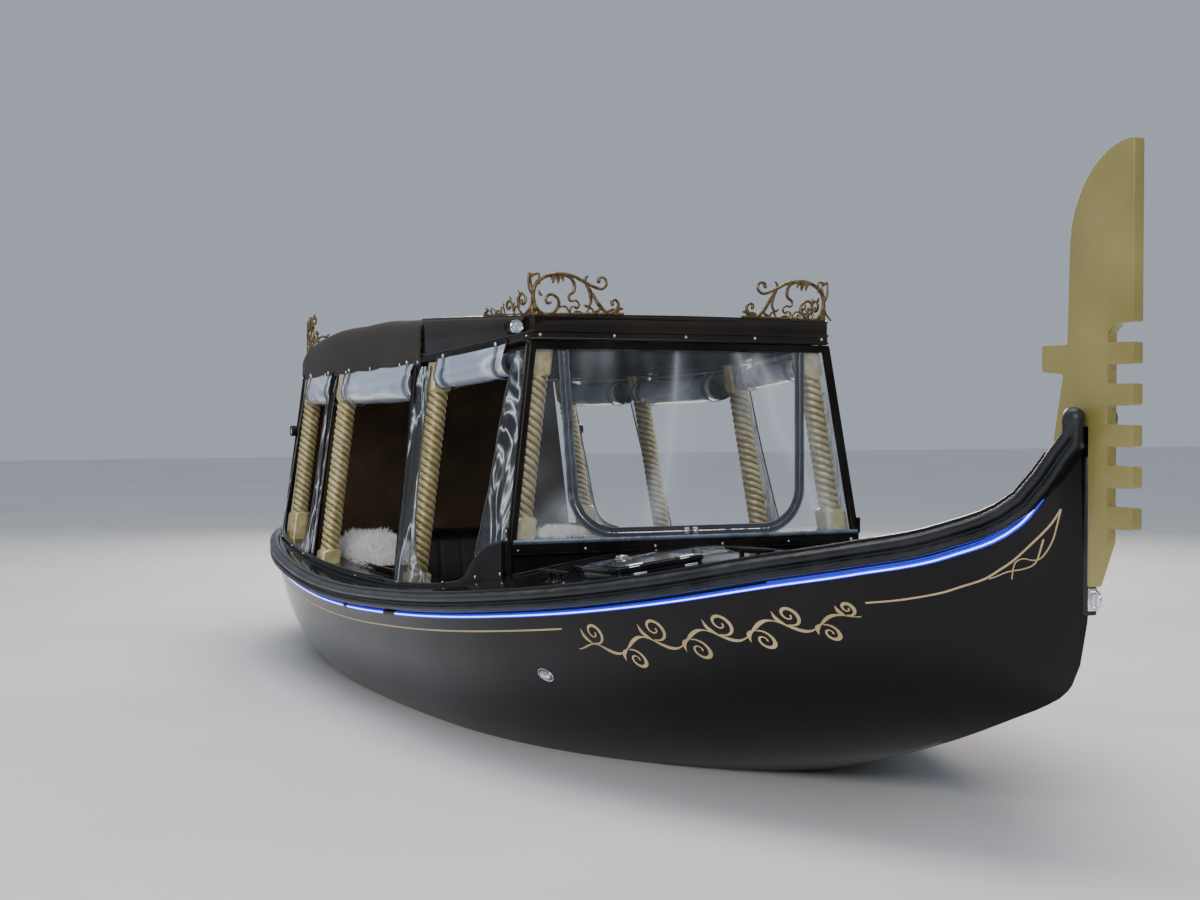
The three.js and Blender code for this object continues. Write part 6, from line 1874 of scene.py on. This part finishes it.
def make_seats():
    for node, (low, high) in SEATS.items():
        stuffed(node, f"{node}_pad", "burgundy_leather", (1, 150, 3.5))
        for label, level in (("low", low[2] + 20), ("high", high[2] - 13)):
            piping(f"{node}_piping_{label}", low, high, level)
    for node in ("seat_back_aft", "seat_back_front"):
        stuffed(node, f"{node}_pad", "black_leather", (1, 100, 6), voxel=9)
    for name in SIDES:
        stuffed(f"side_pad_{name}", f"side_cushion_{name}", "burgundy_leather", (0, 200, 5), cap=7, voxel=9,
                shrink=4)


THROWS = {
    "fur_throw": {"low": (-1300, -652, 418), "high": (-690, -434, 546), "seed": 71, "pile": 0.036,
                  "density": 27000.0},
    "sill_throw": {"low": (628, -526, 628.4), "high": (716, -338, 668), "seed": 83, "pile": 0.022,
                   "density": 60000.0},
}


# How far the backing stays inside the throw's box, which its pile fills
THROW_TUCK = 14


def make_throws():
    for node, throw in THROWS.items():
        low, high, seed = np.array(throw["low"]), np.array(throw["high"]), throw["seed"]
        rows = []
        along = 1 if high[1] - low[1] > high[0] - low[0] else 0
        cross = 1 - along
        start, long = low[along] + THROW_TUCK, high[along] - low[along] - 2 * THROW_TUCK
        middle, half = (low[cross] + high[cross]) / 2, (high[cross] - low[cross] - 2 * THROW_TUCK) / 2
        tall = high[2] - low[2] - 16
        for s in np.linspace(0, 1, 60):
            end = math.sin(min(s, 1 - s) * math.pi) ** 0.5 if 0 < s < 1 else 0.0
            points = []
            for t in np.linspace(0, 1, 36):
                a = math.pi * t
                wide = math.copysign(abs(math.cos(a)) ** 0.55, math.cos(a))
                rise = math.sin(a) ** 0.55
                lump = (0.96 + 0.14 * math.sin(6 * s + seed) + 0.10 * math.sin(13 * s + 5 * t + 1)
                        + 0.07 * math.sin(27 * s - 9 * t) + 0.05 * math.sin(41 * s + 14 * t))
                point = np.zeros(3)
                point[along] = start + long * s
                point[cross] = middle + half * wide * (0.75 + 0.25 * end)
                height = tall * rise * max(end, 0.12) * min(lump, 1.15)
                point[2] = low[2] + 2 + height * (0.84 + 0.16 * math.sin(math.pi * s))
                points.append(point)
            rows.append(points)
        rows = np.array(rows)
        backing = made(f"{node}_backing", loft(rows, capped=False, wrapped=False), sharp=180)
        cover = twin_of(backing)
        thicken(backing, 3)
        fitted(backing, "fur_backing", replaces=[node])
        pile = FUR.run(f"{node}_pile", cover, "white_fur", Density=throw["density"], Length=throw["pile"],
                       Width=0.0021, Lean=0.85, Seed=seed)
        fitted(pile, "white_fur")
        flat, area = laid_flat(rows, backing)


# Fittings
def make_lamp():
    x, level = 642, 1300
    centre = np.array([x, -(float(at(ROOF, x, "half")) + 32), level])
    body = lathe([(-44, 4), (-43, 12), (-38, 18), (-30, 21), (18, 22), (22, 20.5), (25, 20.5)], centre,
                 (1, 0, 0), 30)
    fins = [lathe([(d, 20), (d + 0.6, 23.5), (d + 3, 23.5), (d + 3.6, 20)], centre, (1, 0, 0), 30)
            for d in (-28, -20, -12)]
    stem = slab(centre + (-20, 10, -8), centre + (0, 31, 8), 2, 4)
    foot = slab(centre + (-26, 29, -16), centre + (6, 33, 16), 1.2, 4)
    built("spot_lamp_body", "trim_black", body, *fins, stem, foot, replaces=["spot_lamp_starboard"])
    rim = lathe([(22, 21), (24, 22.4), (30, 22.4), (31, 20), (28, 18.6), (24, 18)], centre, (1, 0, 0), 32)
    cells = [ball(centre + (26, 8.5 * math.cos(a), 8.5 * math.sin(a)), 6.0, 12, 0.6)
             for a in np.radians((90, 210, 330))]
    glass = lathe([(25, 18.4), (28.2, 16), (29.6, 9), (30.2, 2)], centre, (1, 0, 0), 30)
    built("spot_lamp_rim", "bright_chrome", rim, *cells)
    built("spot_lamp_lens", "lamp_lens", glass)


CLEATS = {"fore": (1870, 400, -0.45), "mid": (1200, 670, -0.2)}


def make_cleats():
    for end, (x, y, turn) in CLEATS.items():
        for name, side in SIDES.items():
            origin = np.array([x, side * y, float(deck_top(x, y)) - 1])
            c, s = math.cos(side * turn), math.sin(side * turn)
            slope = (float(deck_top(x, y + 20)) - float(deck_top(x, y - 20))) / 40 * side
            axes = np.array([(c, s, 0), (-s, c, slope), (0, -slope, 1)])
            horn = [(d, 0, 33 + 3.5 * (abs(d) / 78) ** 2) for d in np.linspace(-78, 78, 25)]
            thick = 3.2 + 5 * np.cos(np.linspace(-1, 1, 25) * math.pi / 2) ** 0.7
            shapes = [tube(horn, thick, 12, flat=0.85)]
            for leg in (-26, 26):
                shapes.append(lathe([(0, 13), (3, 12), (7, 8.5), (20, 6.5), (30, 8), (34, 7)], (leg, 0, 0),
                                    (0, 0, 1), 18))
            shapes.append(slab((-44, -13, -2), (44, 13, 6), 2.5, 11))
            placed = [turned(shape, origin, *axes) for shape in shapes]
            screws = [origin + np.array([a, b, 6]) @ axes for a, b in ((-38, 0), (38, 0), (0, 8), (0, -8))]
            built(f"horn_cleat_{end}_{name}", "trim_black", *placed, replaces=[f"cleat_{end}_{name}"])
            studs(f"cleat_screws_{end}_{name}", screws, axes[2], 3.4, 1.4)


HELM = {"aft": -1940, "tilt": 0.35, "face_z": 720, "face": 240}
WHEEL = {"radius": 170, "rim": 11, "spokes": 5, "off": 70}


def make_helm():
    fitted(edged(copy_of("helm_console", "helm_box"), 5, angle=40), "trim_black", replaces=["helm_console"])
    tilt = HELM["tilt"]
    axis = np.array([-math.cos(tilt), 0, math.sin(tilt)])
    up = np.array([math.sin(tilt), 0, math.cos(tilt)])
    face = np.array([HELM["aft"], 0, HELM["face_z"]]) + up * HELM["face"] / 2
    centre = face + axis * WHEEL["off"]
    side = np.array([0, 1.0, 0])
    around = [centre + WHEEL["radius"] * (math.cos(a) * up + math.sin(a) * side) for a in full_turn(72)]
    shapes = [tube(around, WHEEL["rim"] + 0.9 * np.cos(np.arange(72) * math.pi / 4), 14, ring=True)]
    for i in range(WHEEL["spokes"]):
        a = 2 * math.pi * i / WHEEL["spokes"]
        way = math.cos(a) * up + math.sin(a) * side
        profile = [(24, 8), (40, 9), (52, 6.5), (70, 9.5), (84, 6.5), (120, 8.5), (150, 6.5), (163, 8)]
        shapes.append(lathe(profile, centre, way, 16))
    built("wheel_rim", "varnished_wood", *shapes, body="wheel", replaces=["steering_wheel"])
    boss = lathe([(0.6 - WHEEL["off"], 14), (-18, 14), (-16, 29), (12, 30), (15, 26), (17, 14), (18, 4)],
                 centre, axis, 30)
    built("wheel_boss", "bright_chrome", boss, body="wheel")
    bezels, faces = [], []
    for y, size, rise in ((-120, 30, 168), (-52, 22, 196), (52, 22, 196), (120, 30, 168)):
        spot = np.array([HELM["aft"], y, HELM["face_z"]]) + up * rise
        bezels.append(lathe([(0, size), (4, size), (5, size - 2), (3, size - 4)], spot, axis, 28))
        faces.append(lathe([(0.4, size - 3), (2.4, size - 4), (2.6, 1)], spot, axis, 28))
    built("gauge_bezels", "bright_chrome", *bezels)
    built("gauge_faces", "trim_black", *faces)


PROP = {"x": -2150, "z": -235, "blades": 3}
# A blade's section at each distance from the shaft, here the column x
BLADE = table(
    "x chord pitch thick",
    (10, 40, 0.95, 12), (45, 74, 0.7, 9), (80, 70, 0.5, 7), (104, 40, 0.42, 5), (110, 12, 0.4, 3),
)
RUDDER = {"stock": -2370, "fore": 55, "aft": 190, "low": -370, "high": -95, "half": 16}


def make_drive():
    shapes = [lathe([(-64, 2), (-60, 8), (-50, 15), (-34, 20), (51.6, 20), (51.9, 16)],
                    (PROP["x"], 0, PROP["z"]), (1, 0, 0), 28)]
    for i in range(PROP["blades"]):
        turn = 2 * math.pi * i / PROP["blades"]
        c, s = math.cos(turn), math.sin(turn)
        loops = []
        for r in np.linspace(12, 109, 16):
            chord, pitch, thick = (float(at(BLADE, r, key)) for key in ("chord", "pitch", "thick"))
            loop = []
            for a in full_turn(22):
                p, q = math.cos(a) * chord / 2, math.sin(a) * thick / 2 * (1 - 0.25 * math.cos(a))
                x = p * math.sin(pitch) - q * math.cos(pitch)
                y = p * math.cos(pitch) + q * math.sin(pitch) + 0.0006 * r * r
                loop.append((PROP["x"] + x, y * c - r * s, PROP["z"] + y * s + r * c))
            loops.append(loop)
        shapes.append(loft(loops))
    built("screw_propeller", "cast_bronze", *shapes, body="propeller", replaces=["propeller"])
    loops = []
    for up in np.linspace(0, 1, 12):
        z = RUDDER["low"] + (RUDDER["high"] - RUDDER["low"]) * up
        round_off = 100 * max(0, up - 0.9) + 140 * max(0, 0.1 - up)
        fore, aft = RUDDER["stock"] + RUDDER["fore"] - round_off, RUDDER["stock"] - RUDDER["aft"] + round_off
        loop = []
        for a in full_turn(30):
            share = (1 - math.cos(a)) / 2
            loop.append((fore + (aft - fore) * share,
                         RUDDER["half"] * math.sin(a) * (1 - share) ** 0.35 * 1.15, z))
        loops.append(loop)
    stock = lathe([(-160, 16), (-44.4, 16)], (RUDDER["stock"], 0, 0), (0, 0, 1), 20)
    built("rudder_blade", "cast_bronze", loft(loops), stock, body="rudder", replaces=["rudder"])


def make_bulkhead():
    """Battens and snaps on the cabin's aft wall."""
    x, uprights = -1785, (-440, -220, 0, 220, 440)
    parts = [slab((x - 7, y - 11, 500), (x + 1, y + 11, 1150), 2, 3) for y in uprights]
    parts += [slab((x - 5, -520, z - 12), (x + 1, 520, z + 12), 2, 3) for z in (520, 840, 1140)]
    built("bulkhead_battens", "liner_black", *parts)
    points = [(x - 7, y, z) for y in uprights for z in (560, 700, 980, 1100)]
    studs("bulkhead_snaps", points, (-1, 0, 0), 5, 3.4)


# The whole boat, in order
for make in (finishes, place_camera, studio, make_hull, make_stripes, make_vent, make_deck, make_rail,
             make_lights, make_prow, make_columns, make_scrollwork, make_roof, make_canvas, make_windscreen,
             make_sill, make_side_frames, make_side_sheets, make_rolls, make_seats, make_throws, make_lamp,
             make_cleats, make_helm, make_drive, make_bulkhead):
    make()

BY_SLOT = {
    "gelcoat": "deck_black", "rubber": "rail_rubber", "gold_paint": "prow_gold", "chrome": "bright_chrome",
    "black_paint": "trim_black", "clear_vinyl": "window_vinyl", "binding": "zip_webbing",
    "canvas": "roof_canvas", "lit_strip": "strip_glow", "burgundy": "burgundy_leather",
    "black_leather": "black_leather", "rope_gold": "rope_gold", "antique_brass": "old_brass",
    "fur": "fur_backing", "wheel_wood": "varnished_wood", "bronze": "cast_bronze",
}
slots = {row["node"]: row["material_slot"] for row in frame["record"]["subparts"]}
for name, node in NODES.items():
    node.data.materials.clear()
    finish = "liner_black" if name == "aft_bulkhead" else BY_SLOT[slots[name]]
    node.data.materials.append(FINISHES[finish].material)
